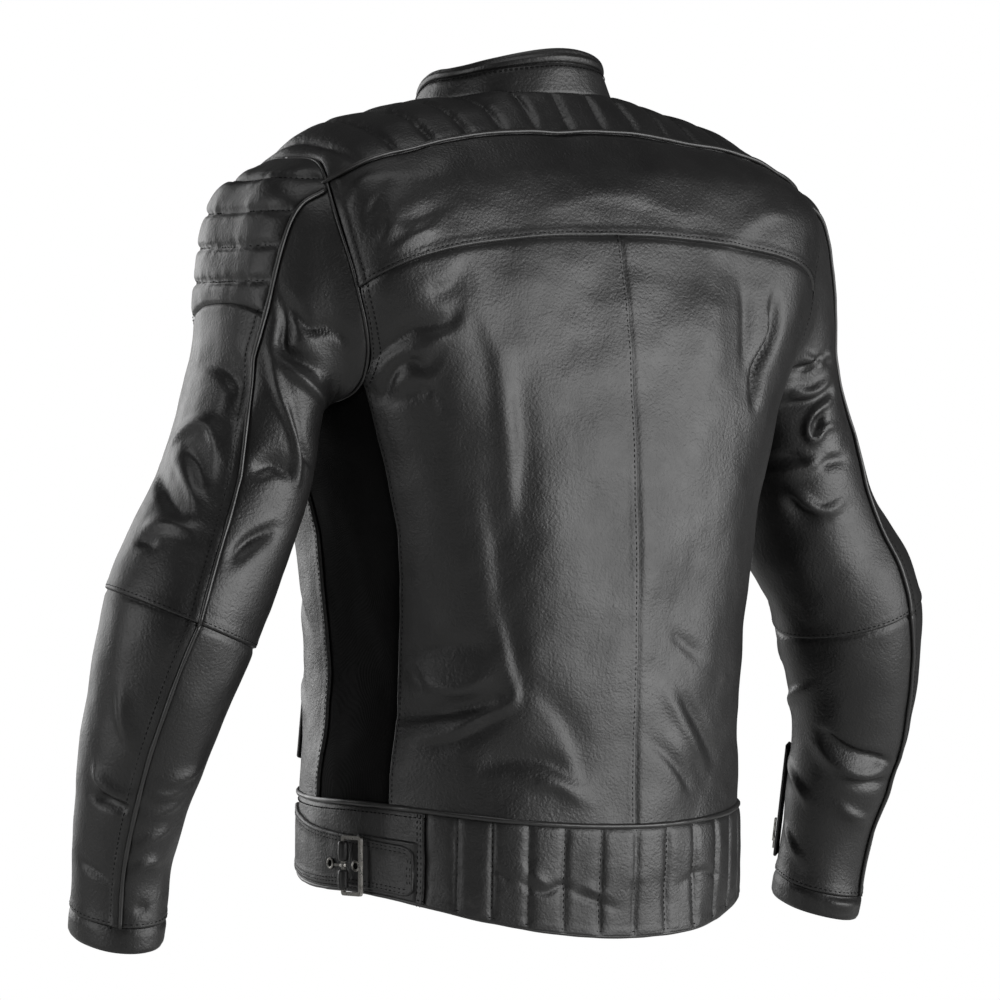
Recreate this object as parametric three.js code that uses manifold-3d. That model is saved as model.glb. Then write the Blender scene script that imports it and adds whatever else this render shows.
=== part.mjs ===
// Leather riding jacket, closed, in its worn shape. Millimetres, +Z up.
// The wearer faces -Y and the wearer's left is +X. The origin is the centre of the neck opening,
// at the height of the collar seam on the centre back.
import * as THREE from 'three';
import { mergeVertices } from 'three/addons/utils/BufferGeometryUtils.js';
import Module from 'manifold-3d';

const wasm = await Module();
wasm.setup();

const { cos, sin, abs, sqrt, sign, max, min, PI } = Math;
const rad = THREE.MathUtils.degToRad;

// ---------------------------------------------------------------- driving dimensions

// Torso: level from hem to neck, half width, depth behind the side line, squareness,
// height at centre back, at the sides and at centre front.
const TORSO = [
  [0.00, 174, 161, 0.02, -665, -629, -600],
  [0.12, 174, 164, 0.02, -578, -560, -545],
  [0.30, 170, 167, 0.03, -470, -462, -450],
  [0.46, 183, 169, 0.04, -355, -350, -340],
  [0.62, 210, 164, 0.06, -240, -235, -235],
  [0.76, 236, 150, 0.09, -150, -155, -170],
  [0.88, 238, 130, 0.09, -71, -84, -110],
  [0.95, 188, 94, 0.02, -27, -33, -70],
  [1.00, 80, 73, 0.00, 0, -4, -42],
];
const WAIST = 0.12; // level of the waistband's top seam
const ZIP_Y = -86; // front zip line: y at z = 0, and its lean towards the hem
const ZIP_LEAN = 0.118;

// Collar top edge: half width, back depth, heights at back, sides and front.
const COLLAR_TOP = { halfWidth: 70, back: 68, zBack: 34, zSide: 19, zFront: -13 };
const COLLAR_BAND_START = 0.68; // share of the collar's height under its rolled top band

// Armhole: a closed curve on the torso, about angle ARM_PHI and level ARM_LEVEL.
const ARM_PHI = 1.56;
const ARM_LEVEL = 0.765;
const ARM = { back: 0.56, front: 0.50, up: 0.155, down: 0.165, squareness: 0.5 };

// Left sleeve rings: share of length, centre, tilt from vertical, forward pitch (degrees),
// half size outwards, half size front to back, and the power that squares the ring off.
const SLEEVE = [
  [0.13, 237, 8, -171, 71, 0, 89.5, 82, 0.62],
  [0.30, 252, 7, -238, 37, 0, 51, 70, 0.85],
  [0.45, 275, 6, -318, 25, 0, 56, 68, 1],
  [0.64, 325, 13, -415, 20, 10, 61, 63, 1],
  [0.78, 344, -8, -509, 8, 16, 49, 52, 1],
  [0.90, 345, -36, -593, -2, 18, 39, 40, 1],
  [1.00, 342, -53, -662, -6, 16, 34, 42, 1],
];
const CAP_END = 0.25; // end of the quilted sleeve cap
const ELBOW = 0.64; // elbow seam, where the sleeve bends
const CUFF_BAND = 0.972; // start of the cuff band
const ELBOW_CUT = 0.032; // half height of the crease left open in the crook of the elbow
const HEAD_GAP = 8; // gap between the armhole and the sleeve head
const SWING_GAP = 8; // more room at the armhole's front, for the sleeve to swing
// Back sleeve seam: share of length against angle from the sleeve's outer side.
const BACK_SEAM = [[0, 42], [0.3, 40], [0.45, 58], [0.64, 70], [0.78, 62], [1, 58]];
const FRONT_SEAM = -75;

// Seams on the torso, as angles from centre back.
const SIDE_PANEL_BACK = [[0, 69], [0.12, 69], [0.3, 68], [0.46, 64], [0.63, 66]];
const SIDE_PANEL_FRONT = [[0, 99], [0.12, 99], [0.3, 95], [0.46, 94], [0.66, 103]];
const QUILTED_BAND = 57.6; // waistband: angle where the quilted back section ends
// Front edge of the quilted yoke: angle and level at the armhole, angle at the collar.
const YOKE_FRONT = { start: 113, level: 0.868, end: 141 };
const UNDERARM = { back: 0.63, front: 0.66 }; // levels where the side seams meet the armhole
const ZIP_HALF = 8; // from the middle of the zip to the front panel's edge
const LEVEL_GAP = 0.006; // room left, as a level, where a panel ends under a curved edge
const TURN_GAP = 0.012; // room left, in radians, between outer and under sleeve panels
const LINING_HEM = 0.05; // lower edge of the lining, and its upper edge
const LINING_TOP = 0.955;
const LINING_SHOULDER = 0.915; // level where the lining leaves the armhole

// Layers, measured inwards from the outer face of the leather.
const LEATHER = 2.5;
const PADDED = 5; // quilted leather with its wadding
const PROTECTOR = [-5.2, -10.4];
const SHOULDER_PAD = [-8, -12.5];
const LINING = [-13.2, -14.6];
const SEAM = 0.9; // gap between neighbouring panels

const COLORS = {
  leather: [0x1b1b1c, 0.5, 0], quilted: [0x1e1e1f, 0.5, 0], stretch: [0x0d0d0e, 0.95, 0],
  lining: [0x2a2b2e, 0.9, 0], foam: [0x3a3d42, 0.9, 0], steel: [0x9a9a98, 0.35, 0.9],
  tape: [0x111112, 0.9, 0],
};

// ---------------------------------------------------------------- curves and surfaces

// Smooth curve through rows whose first entry is the parameter.
function spline(rows, t) {
  let i = 0;
  while (i < rows.length - 2 && t >= rows[i + 1][0]) i += 1;
  const slope = (k, c) => {
    const a = rows[max(k - 1, 0)];
    const b = rows[min(k + 1, rows.length - 1)];
    return (b[c] - a[c]) / (b[0] - a[0]);
  };
  const h = rows[i + 1][0] - rows[i][0];
  const s = (t - rows[i][0]) / h;
  const blend = [2 * s ** 3 - 3 * s ** 2 + 1, (s ** 3 - 2 * s ** 2 + s) * h,
    -2 * s ** 3 + 3 * s ** 2, (s ** 3 - s ** 2) * h];
  return rows[i].slice(1).map((value, k) => blend[0] * value + blend[1] * slope(i, k + 1)
    + blend[2] * rows[i + 1][k + 1] + blend[3] * slope(i + 1, k + 1));
}

// Straight-line interpolation in a table of [parameter, degrees], in radians.
function seamAngle(rows, t) {
  let i = 0;
  while (i < rows.length - 2 && t >= rows[i + 1][0]) i += 1;
  const s = min(max((t - rows[i][0]) / (rows[i + 1][0] - rows[i][0]), 0), 1);
  return rad(rows[i][1] + s * (rows[i + 1][1] - rows[i][1]));
}

// Point of a body ring. Angle 0 is centre back, 90 degrees the wearer's left.
function ringPoint(phi, halfWidth, back, square, zBack, zSide, zFront) {
  const behind = cos(phi) > 0;
  const depth = behind ? back : -(ZIP_Y + ZIP_LEAN * zFront);
  return new THREE.Vector3(
    halfWidth * (sin(phi) + square * sin(3 * phi)) / (1 - square),
    depth * (cos(phi) - square * cos(3 * phi)) / (1 - square),
    zSide + ((behind ? zBack : zFront) - zSide) * cos(phi) ** 2,
  );
}

const torso = (phi, level) => ringPoint(phi, ...spline(TORSO, level));

function collar(phi, share) {
  const top = COLLAR_TOP;
  const edge = ringPoint(phi, top.halfWidth, top.back, 0, top.zBack, top.zSide, top.zFront);
  return torso(phi, 1).lerp(edge, share);
}

// Armhole angle 0 is the shoulder, 90 degrees the back, 180 the underarm, 270 the front.
function armholeAt(theta) {
  const c = cos(theta);
  const s = sin(theta);
  const side = (s > 0 ? ARM.back : ARM.front) * sign(s) * abs(s) ** ARM.squareness;
  return [ARM_PHI - side, ARM_LEVEL + (c > 0 ? ARM.up : ARM.down) * c];
}

// Angle of the armhole's back or front edge at a level.
function armholeAngle(level, back) {
  const c = (level - ARM_LEVEL) / (level > ARM_LEVEL ? ARM.up : ARM.down);
  const s = sqrt(max(0, 1 - c * c)) ** ARM.squareness;
  return ARM_PHI + (back ? -ARM.back : ARM.front) * s;
}

// Level of the armhole's upper or lower edge at an angle.
function armholeLevel(phi, upper) {
  const s = min(abs(phi - ARM_PHI) / (phi < ARM_PHI ? ARM.back : ARM.front), 1);
  const c = sqrt(1 - s ** (2 / ARM.squareness));
  return ARM_LEVEL + (upper ? ARM.up : -ARM.down) * c;
}

function sleeveRing([, x, y, z, tiltDegrees, pitchDegrees, out, deep, power], theta) {
  const tilt = rad(tiltDegrees);
  const pitch = rad(pitchDegrees);
  const along = new THREE.Vector3(sin(tilt), -sin(pitch) * cos(tilt), -cos(tilt) * cos(pitch));
  const back = new THREE.Vector3(0, cos(pitch), -sin(pitch));
  const outward = along.cross(back).normalize();
  const side = deep * sign(sin(theta)) * abs(sin(theta)) ** power;
  return new THREE.Vector3(x, y, z)
    .addScaledVector(outward, out * cos(theta)).addScaledVector(back, side);
}

// Left sleeve surface, lofted from the armhole (share 0) to the cuff edge (share 1).
function sleeve(theta, share) {
  const start = torso(...armholeAt(theta));
  const rows = [[0, ...start], ...SLEEVE.map((key) => [key[0], ...sleeveRing(key, theta)])];
  return new THREE.Vector3(...spline(rows, share));
}

const STEP = 1e-3;
function normalAt(surface, a, b) {
  const da = surface(a + STEP, b).sub(surface(a - STEP, b));
  const low = max(b - STEP, 0);
  const db = surface(a, min(b + STEP, 1)).sub(surface(a, low));
  return db.cross(da).normalize();
}

const offsetPoint = (surface, a, b, offset) => (
  surface(a, b).addScaledVector(normalAt(surface, a, b), offset));

// ---------------------------------------------------------------- solids

function solid(vertices, triangles) {
  const geometry = new THREE.BufferGeometry();
  const flat = vertices.flatMap((p) => [p.x, p.y, p.z]);
  geometry.setAttribute('position', new THREE.Float32BufferAttribute(flat, 3));
  geometry.setIndex(triangles);
  return geometry;
}

// Closed sheet of constant thickness over a surface. place(s, t) gives the surface's two
// parameters for s and t from 0 to 1. A wrapped sheet closes on itself along s.
function sheet(surface, place, outer, inner, across, along, wrapped = false) {
  const columns = wrapped ? across : across + 1;
  const layers = [outer, inner].map((offset) => {
    const points = [];
    for (let j = 0; j <= along; j += 1) {
      for (let i = 0; i < columns; i += 1) {
        points.push(offsetPoint(surface, ...place(i / across, j / along), offset));
      }
    }
    return points;
  });
  const count = layers[0].length;
  const top = (i, j) => j * columns + (i % columns);
  const under = (i, j) => count + top(i, j);
  const triangles = [];
  const quad = (a, b, c, d) => triangles.push(a, b, c, a, c, d);
  for (let i = 0; i < across; i += 1) {
    for (let j = 0; j < along; j += 1) {
      quad(top(i, j), top(i, j + 1), top(i + 1, j + 1), top(i + 1, j));
      quad(under(i, j), under(i + 1, j), under(i + 1, j + 1), under(i, j + 1));
    }
    quad(top(i, 0), top(i + 1, 0), under(i + 1, 0), under(i, 0));
    quad(top(i, along), under(i, along), under(i + 1, along), top(i + 1, along));
  }
  for (let j = 0; j < along && !wrapped; j += 1) {
    quad(top(0, j), under(0, j), under(0, j + 1), top(0, j + 1));
    quad(top(across, j), top(across, j + 1), under(across, j + 1), under(across, j));
  }
  return solid([...layers[0], ...layers[1]], triangles);
}

// Region of a surface between two side edges, given by level, and two end edges, given by
// angle. Each edge is pulled in by half a seam gap.
function between(leftEdge, rightEdge, lowEdge, highEdge, width, height) {
  const inset = (share, size) => SEAM / 2 / size + share * (1 - SEAM / size);
  const levels = Array.from({ length: 61 }, (_, i) => i / 60);
  const first = Math.min(...levels.map(leftEdge));
  const last = Math.max(...levels.map(rightEdge));
  return (s, t) => {
    let start = first;
    let end = last;
    let a;
    let b;
    for (let pass = 0; pass < 30; pass += 1) {
      a = (start + end) / 2;
      const low = lowEdge(a);
      b = low + inset(t, height) * (highEdge(a) - low);
      const left = leftEdge(b);
      if (a - left > inset(s, width) * (rightEdge(b) - left)) end = a;
      else start = a;
    }
    return [a, b];
  };
}

const at = (value) => () => value;

function mirrored(geometry) {
  const copy = geometry.clone();
  const position = copy.attributes.position;
  for (let i = 0; i < position.count; i += 1) position.setX(i, -position.getX(i));
  const index = copy.index.array;
  for (let i = 0; i < index.length; i += 3) {
    [index[i + 1], index[i + 2]] = [index[i + 2], index[i + 1]];
  }
  return copy;
}

function welded(geometry) {
  const plain = geometry.clone();
  plain.deleteAttribute('normal');
  plain.deleteAttribute('uv');
  return mergeVertices(plain, 1e-4);
}

function toManifold(geometry) {
  const plain = welded(geometry);
  return new wasm.Manifold(new wasm.Mesh({
    numProp: 3,
    vertProperties: new Float32Array(plain.attributes.position.array),
    triVerts: new Uint32Array(plain.index.array),
  }));
}

function fromManifold(body) {
  const mesh = body.getMesh();
  const geometry = new THREE.BufferGeometry();
  geometry.setAttribute('position', new THREE.Float32BufferAttribute(mesh.vertProperties, 3));
  geometry.setIndex(Array.from(mesh.triVerts));
  return geometry;
}

const joined = (first, ...rest) => fromManifold(
  rest.reduce((body, next) => body.add(toManifold(next)), toManifold(first)));
const cut = (first, ...rest) => fromManifold(
  rest.reduce((body, next) => body.subtract(toManifold(next)), toManifold(first)));

// Frame of reference on a surface: y along the garment, z outwards.
function frameOn(origin, up, outward) {
  const z = outward.clone().normalize();
  const x = up.clone().cross(z).normalize();
  const y = z.clone().cross(x);
  return new THREE.Matrix4().makeBasis(x, y, z).setPosition(origin);
}

function frameOnTorso(phi, level, offset = 0) {
  const up = torso(phi, level + 0.02).sub(torso(phi, level - 0.02));
  return frameOn(offsetPoint(torso, phi, level, offset), up, normalAt(torso, phi, level));
}

const placed = (geometry, matrix) => welded(geometry).applyMatrix4(matrix);

function box(x0, x1, y0, y1, z0, z1) {
  const geometry = new THREE.BoxGeometry(x1 - x0, y1 - y0, z1 - z0);
  return geometry.translate((x0 + x1) / 2, (y0 + y1) / 2, (z0 + z1) / 2);
}

const bar = (shape, length, curveSegments = 6) => new THREE.ExtrudeGeometry(
  shape, { depth: length, bevelEnabled: false, curveSegments });

// Cross-section in x and z, carried along y.
const profile = (points, y0, y1) => bar(
  new THREE.Shape(points.map(([x, z]) => new THREE.Vector2(x, -z))), y1 - y0)
  .rotateX(-PI / 2).translate(0, y0, 0);

function ring(outer, inner, thickness) {
  const shape = new THREE.Shape().absarc(0, 0, outer, 0, 2 * PI);
  shape.holes.push(new THREE.Path().absarc(0, 0, inner, 0, 2 * PI));
  return bar(shape, thickness);
}

// ---------------------------------------------------------------- the jacket

const jacket = new THREE.Group();

function add(name, geometry, look) {
  const [color, roughness, metalness] = COLORS[look];
  const material = new THREE.MeshStandardMaterial({ color, roughness, metalness });
  const mesh = new THREE.Mesh(geometry, material);
  mesh.name = name;
  jacket.add(mesh);
}

function addPair(name, geometry, look) {
  add(`${name}_left`, geometry, look);
  add(`${name}_right`, mirrored(geometry), look);
}

const backEdge = (level) => (level < UNDERARM.back
  ? seamAngle(SIDE_PANEL_BACK, level) : armholeAngle(level, true));
const frontEdge = (level) => (level < UNDERARM.front
  ? seamAngle(SIDE_PANEL_FRONT, level) : armholeAngle(level, false));
const yokeSeam = (phi) => 0.81 - 0.062 * phi * phi; // lower yoke seam across the back
const pipingSeam = (phi) => 0.938 - 0.040 * phi * phi; // lower edge of the quilted yoke
const zipEdge = (level) => PI - ZIP_HALF / spline(TORSO, level)[0];

// Lower edge of the front of the quilted yoke, from the armhole up to the collar.
function yokeFront(phi) {
  const share = (abs(phi) - rad(YOKE_FRONT.start)) / rad(YOKE_FRONT.end - YOKE_FRONT.start);
  return YOKE_FRONT.level + (1 - YOKE_FRONT.level) * min(max(share, 0), 1) ** 1.5;
}

function yokeEdge(phi) {
  const a = abs(phi);
  const seam = a < ARM_PHI ? pipingSeam(a) : yokeFront(a);
  const inArmhole = a > ARM_PHI - ARM.back && a < ARM_PHI + ARM.front;
  return inArmhole ? max(seam, armholeLevel(a, true)) : seam;
}

function addTorso() {
  const half = between(at(0), backEdge, at(WAIST), yokeSeam, 200, 330);
  addPair('lower_back', sheet(torso, half, 0, -LEATHER, 6, 9), 'leather');
  const upper = between((b) => -armholeAngle(b, true), (b) => armholeAngle(b, true),
    yokeSeam, pipingSeam, 430, 90);
  add('upper_back', sheet(torso, upper, 0, -LEATHER, 14, 3), 'leather');
  const yokeEnd = rad(YOKE_FRONT.end - 1);
  const yoke = between(at(-yokeEnd), at(yokeEnd), yokeEdge, at(1), 600, 50);
  add('quilted_yoke', sheet(torso, yoke, 0, -PADDED, 36, 3), 'quilted');
  const underarm = (phi) => armholeLevel(phi, false) - LEVEL_GAP;
  const side = between(backEdge, frontEdge, at(WAIST), underarm, 90, 320);
  addPair('side_stretch_panel', sheet(torso, side, -0.4, -LEATHER, 3, 7), 'stretch');
  const front = between(frontEdge, zipEdge, at(WAIST), (a) => yokeFront(a) - LEVEL_GAP, 220, 500);
  addPair('front_panel', sheet(torso, front, 0, -LEATHER, 7, 10), 'leather');
}

function addWaistband() {
  const back = between(at(-rad(QUILTED_BAND)), at(rad(QUILTED_BAND)), at(0), at(WAIST), 360, 85);
  add('waistband_back', sheet(torso, back, 0.6, -PADDED, 14, 2), 'quilted');
  const side = between(at(rad(QUILTED_BAND)), zipEdge, at(0), at(WAIST), 330, 65);
  addPair('waistband_side', sheet(torso, side, 0, -LEATHER, 12, 2), 'leather');
}

function addCollar() {
  const around = (low, high) => (s, t) => [rad(-177.5 + 355 * s), low + (high - low) * t];
  const stand = around(0.03, COLLAR_BAND_START - 0.01);
  add('collar_stand', sheet(collar, stand, 0, -LEATHER, 28, 1), 'leather');
  const band = around(COLLAR_BAND_START + 0.02, 1);
  add('collar_top_band', sheet(collar, band, 0.8, -LEATHER - 0.8, 28, 1), 'leather');
  const tab = (s, t) => [rad(152 + 52 * s), 0.2 + 0.42 * t];
  add('collar_tab', sheet(collar, tab, 3.4, 1.0, 8, 1), 'leather');
}

// ---- zips

// Frame on the front zip line at a height, y up along the line and z outwards.
const onZip = (z, along = 0) => frameOn(new THREE.Vector3(0, ZIP_Y + ZIP_LEAN * z, z),
  new THREE.Vector3(0, ZIP_LEAN, 1), new THREE.Vector3(0, -1, ZIP_LEAN))
  .multiply(new THREE.Matrix4().makeTranslation(0, along, 0));

const ZIP_BOTTOM = -596;
const ZIP_TOP = -46;
const SLIDER_REST = -58;

function addFrontZip() {
  const length = (ZIP_TOP - ZIP_BOTTOM) * sqrt(1 + ZIP_LEAN ** 2);
  const tape = profile([[0.9, -6.4], [3.4, -6.4], [3.4, -5], [15, -5], [15, -4], [3.4, -4],
    [3.4, -1.4], [0.9, -1.4]], 0, length);
  addPair('front_zip_tape', placed(tape, onZip(ZIP_BOTTOM)), 'tape');
  const runner = profile([[-4.2, -8.2], [4.2, -8.2], [4.2, -6.8], [0.5, -6.8], [0.5, -1],
    [4.2, -1], [4.2, 1], [-4.2, 1], [-4.2, -1], [-0.5, -1], [-0.5, -6.8], [-4.2, -6.8]], -7, 7);
  const lug = new THREE.Shape().moveTo(-2, 0.6).lineTo(2, 0.6).lineTo(2, 4).lineTo(-2, 4);
  lug.holes.push(new THREE.Path().absarc(0, 2.5, 1.1, 0, 2 * PI));
  const eye = bar(lug, 1.8).applyMatrix4(new THREE.Matrix4().makeBasis(
    new THREE.Vector3(0, 1, 0), new THREE.Vector3(0, 0, 1), new THREE.Vector3(1, 0, 0)));
  add('front_zip_slider', placed(joined(runner, eye.translate(-0.9, 0, 0)),
    onZip(SLIDER_REST)), 'steel');
  const plate = new THREE.Shape().moveTo(-3.2, 0.6).lineTo(-3.2, -25).lineTo(-1.6, -28)
    .lineTo(1.6, -28).lineTo(3.2, -25).lineTo(3.2, 0.6);
  plate.holes.push(new THREE.Path().moveTo(-1.7, -0.6).lineTo(1.7, -0.6).lineTo(1.7, -4)
    .lineTo(-1.7, -4));
  add('front_zip_pull', placed(bar(plate, 1.2).translate(0, 0, 1.9), onZip(SLIDER_REST)), 'steel');
}

// A closed zip: tape with a raised row of teeth, and a slider that straddles the teeth.
const TEETH = { half: 1.6, rise: 1.8 };
function zipStrip(length, halfTape) {
  const { half, rise } = TEETH;
  return profile([[-halfTape, 0], [halfTape, 0], [halfTape, 1], [half, 1], [half, rise],
    [-half, rise], [-half, 1], [-halfTape, 1]], 0, length);
}

function zipSlider() {
  const wall = TEETH.half + 0.4;
  const saddle = profile([[-wall - 1.2, 1.3], [-wall, 1.3], [-wall, 2.2], [wall, 2.2],
    [wall, 1.3], [wall + 1.2, 1.3], [wall + 1.2, 3.6], [-wall - 1.2, 3.6]], 0, 9);
  const tab = box(-2.2, 2.2, -16, 3, 3.2, 4.6);
  return joined(saddle, tab);
}

// Straight line between two places on a surface: frame at its start, and its length.
function lineOn(surface, from, to, offset) {
  const start = offsetPoint(surface, ...from, offset);
  const end = offsetPoint(surface, ...to, offset);
  const outward = normalAt(surface, ...from).add(normalAt(surface, ...to));
  return { frame: frameOn(start, end.clone().sub(start), outward), length: start.distanceTo(end) };
}

const POCKET = { low: [rad(132), 0.165], high: [rad(141), 0.36], lift: 2.2 };
const CUFF_ZIP = { low: [rad(230), 0.82], high: [rad(230), 0.955], lift: 1.4 };
const SLIDER_GAP = 14; // from the strip's top end to the slider's top

function addZip(name, surface, { low, high, lift }, halfTape) {
  const { frame, length } = lineOn(surface, low, high, lift);
  addPair(`${name}_tape`, placed(zipStrip(length, halfTape), frame), 'tape');
  const rest = new THREE.Matrix4().makeTranslation(0, length - SLIDER_GAP, 0);
  addPair(`${name}_slider`, placed(zipSlider(), frame.clone().multiply(rest)), 'steel');
}

// ---- waist adjusters

// Buckle: place of its hinge bar, outer size, thickness of its rim.
const BUCKLE = { phi: rad(82.5), level: 0.035, height: 47, width: 24, bar: 3, thick: 2.4 };
// Strap: degrees of its tip and root, levels of its edges, rise of the upper edge, outer face.
const STRAP = { tip: 60.8, root: 124, low: 0.006, high: 0.072, rise: 0.03, face: 2.9 };
const EYELETS = [rad(79.5), rad(90)];
const BAR_LIFT = STRAP.face + 4.9; // buckle hinge bar above the waistband's face

function roundedBox(halfWidth, y0, y1, radius) {
  const shape = new THREE.Shape();
  shape.absarc(halfWidth - radius, y1 - radius, radius, 0, PI / 2);
  shape.absarc(-halfWidth + radius, y1 - radius, radius, PI / 2, PI);
  shape.absarc(-halfWidth + radius, y0 + radius, radius, PI, 1.5 * PI);
  shape.absarc(halfWidth - radius, y0 + radius, radius, 1.5 * PI, 2 * PI);
  return shape;
}

function addAdjuster() {
  const strapPlace = (s, t) => {
    const fromTip = (STRAP.root - STRAP.tip) * s; // degrees along the strap from its tip
    const round = fromTip < 4 ? 1 - sqrt(1 - ((4 - fromTip) / 4) ** 2) : 0;
    const high = STRAP.high + STRAP.rise * s * s;
    const middle = (STRAP.low + high) / 2;
    const half = (high - STRAP.low) / 2 * (1 - 0.4 * round);
    return [rad(STRAP.tip + fromTip), middle + half * (2 * t - 1)];
  };
  const strap = sheet(torso, strapPlace, STRAP.face, 0.5, 16, 1);
  const hinge = frameOnTorso(BUCKLE.phi, BUCKLE.level, BAR_LIFT);
  const eyelets = EYELETS.map((phi) => placed(
    ring(4.4, 2.4, 1.6), frameOnTorso(phi, BUCKLE.level, STRAP.face - 0.8)));
  addPair('waist_strap', joined(strap, ...eyelets), 'leather');

  const { height, width, bar: rim, thick } = BUCKLE;
  const outline = roundedBox(width / 2, -height / 2, height / 2, 2.5);
  outline.holes.push(roundedBox(width / 2 - rim, -height / 2 + rim, height / 2 - rim, 1));
  const frame = bar(outline, thick, 2).translate(width / 2 - rim / 2, 0, -thick / 2);
  addPair('buckle_frame', placed(frame, hinge), 'steel');

  const upright = new THREE.Matrix4().makeRotationX(-PI / 2);
  const roll = ring(4.3, 3.1, height - 2 * rim - 3).applyMatrix4(upright)
    .translate(0, -(height - 2 * rim - 3) / 2, 0);
  const slot = box(-6, 0, -2.2, 2.2, -1.6, 6);
  addPair('buckle_loop', placed(cut(roll, slot), hinge), 'leather');

  const eye = ring(2.9, 2.1, 2.4).applyMatrix4(upright).translate(0, -1.2, 0);
  const tongue = box(-10.5, -2.4, -1, 1, -0.8, 0.8);
  addPair('buckle_prong', placed(joined(eye, tongue), hinge), 'steel');
}

// ---- sleeves

const backSeam = (share) => seamAngle(BACK_SEAM, share);
const outerBack = (share) => backSeam(share) - TURN_GAP;
const outerFront = at(rad(FRONT_SEAM) + TURN_GAP);
const under = at(rad(FRONT_SEAM + 360));
const towardsFront = (theta) => max(0, -sin(theta));

// Share of length where the sleeve's head starts, a set distance from the armhole.
function sleeveStart(theta) {
  const distance = HEAD_GAP + SWING_GAP * max(0, cos(theta + rad(75)));
  const edge = sleeve(theta, 0);
  let share = 0;
  while (sleeve(theta, share).distanceTo(edge) < distance) share += 0.002;
  return share;
}

const aboveElbow = (theta) => ELBOW - ELBOW_CUT * towardsFront(theta);
const belowElbow = (theta) => ELBOW + 0.004 + ELBOW_CUT * towardsFront(theta);

function addSleeves() {
  const cap = between(outerFront, outerBack, sleeveStart, at(CAP_END), 190, 120);
  addPair('sleeve_cap', sheet(sleeve, cap, 0, -PADDED + 1, 8, 5), 'quilted');
  const outer = between(outerFront, outerBack, at(CAP_END), aboveElbow, 160, 230);
  addPair('upper_sleeve_outer', sheet(sleeve, outer, 0, -LEATHER, 8, 7), 'leather');
  const inner = between(backSeam, under, sleeveStart, aboveElbow, 230, 300);
  addPair('upper_sleeve_under', sheet(sleeve, inner, 0, -LEATHER, 12, 9), 'leather');
  const foreOuter = between(outerFront, outerBack, belowElbow, at(CUFF_BAND), 130, 230);
  addPair('forearm_outer', sheet(sleeve, foreOuter, 0, -LEATHER, 8, 5), 'leather');
  const foreUnder = between(backSeam, under, belowElbow, at(CUFF_BAND), 190, 230);
  addPair('forearm_under', sheet(sleeve, foreUnder, 0, -LEATHER, 12, 5), 'leather');

  const tube = (start, end) => (s, t) => {
    const theta = 2 * PI * s;
    return [theta, start(theta) + (end(theta) - start(theta)) * t];
  };
  const cuff = sheet(sleeve, tube(at(CUFF_BAND + 0.003), at(1)), 0.6, -LEATHER - 0.6, 20, 1, true);
  addPair('cuff_band', cuff, 'leather');
  const upperLining = tube(at(0.31), (a) => aboveElbow(a) - 0.01);
  addPair('upper_sleeve_lining', sheet(sleeve, upperLining, ...LINING, 14, 4, true), 'lining');
  const foreLining = tube((a) => belowElbow(a) + 0.01, at(CUFF_BAND - 0.01));
  addPair('forearm_lining', sheet(sleeve, foreLining, ...LINING, 14, 4, true), 'lining');

  const shoulderPad = (s, t) => [rad(-46 + 76 * s), 0.07 + 0.16 * t];
  addPair('shoulder_protector', sheet(sleeve, shoulderPad, ...SHOULDER_PAD, 6, 4), 'foam');
  const elbowPad = (s, t) => [rad(35 + 110 * s), ELBOW + 0.02 + 0.17 * t];
  addPair('elbow_protector', sheet(sleeve, elbowPad, ...PROTECTOR, 6, 4), 'foam');
}

// ---- inside

function addInside() {
  const back = between((b) => -liningBack(b), liningBack, at(LINING_HEM), at(LINING_TOP), 500, 640);
  add('lining_back', sheet(torso, back, ...LINING, 12, 8), 'lining');
  const front = between(liningFront, at(rad(174)), at(LINING_HEM), at(LINING_TOP), 200, 520);
  addPair('lining_front', sheet(torso, front, ...LINING, 5, 8), 'lining');
  const pad = (s, t) => [rad(-34 + 68 * s), 0.27 + 0.55 * t];
  add('back_protector', sheet(torso, pad, ...PROTECTOR, 8, 6), 'foam');

  const arch = new THREE.QuadraticBezierCurve3(
    new THREE.Vector3(-26, 62, -6), new THREE.Vector3(0, 32, -26), new THREE.Vector3(26, 62, -6));
  const strip = new THREE.Shape().moveTo(-0.6, -3).lineTo(0.6, -3).lineTo(0.6, 3).lineTo(-0.6, 3);
  const loop = new THREE.ExtrudeGeometry(strip, { steps: 12, extrudePath: arch });
  add('hanger_loop', welded(loop), 'lining');
}

// Side edges of the back and front lining: straight under the arm, then along the armhole.
function liningBack(level) {
  if (level < UNDERARM.back) return rad(84);
  return min(armholeAngle(min(level, LINING_SHOULDER), true) - 0.03, rad(84));
}

function liningFront(level) {
  if (level < UNDERARM.back) return rad(86);
  return max(armholeAngle(min(level, LINING_SHOULDER), false) + 0.03, rad(86));
}

addTorso();
addWaistband();
addCollar();
addFrontZip();
addZip('pocket_zip', torso, POCKET, 7);
addAdjuster();
addSleeves();
addZip('cuff_zip', sleeve, CUFF_ZIP, 5);
addInside();

const group = jacket;
export default group;
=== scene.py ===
"""Leather riding jacket: fine leather, quilting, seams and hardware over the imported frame."""

import math

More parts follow.
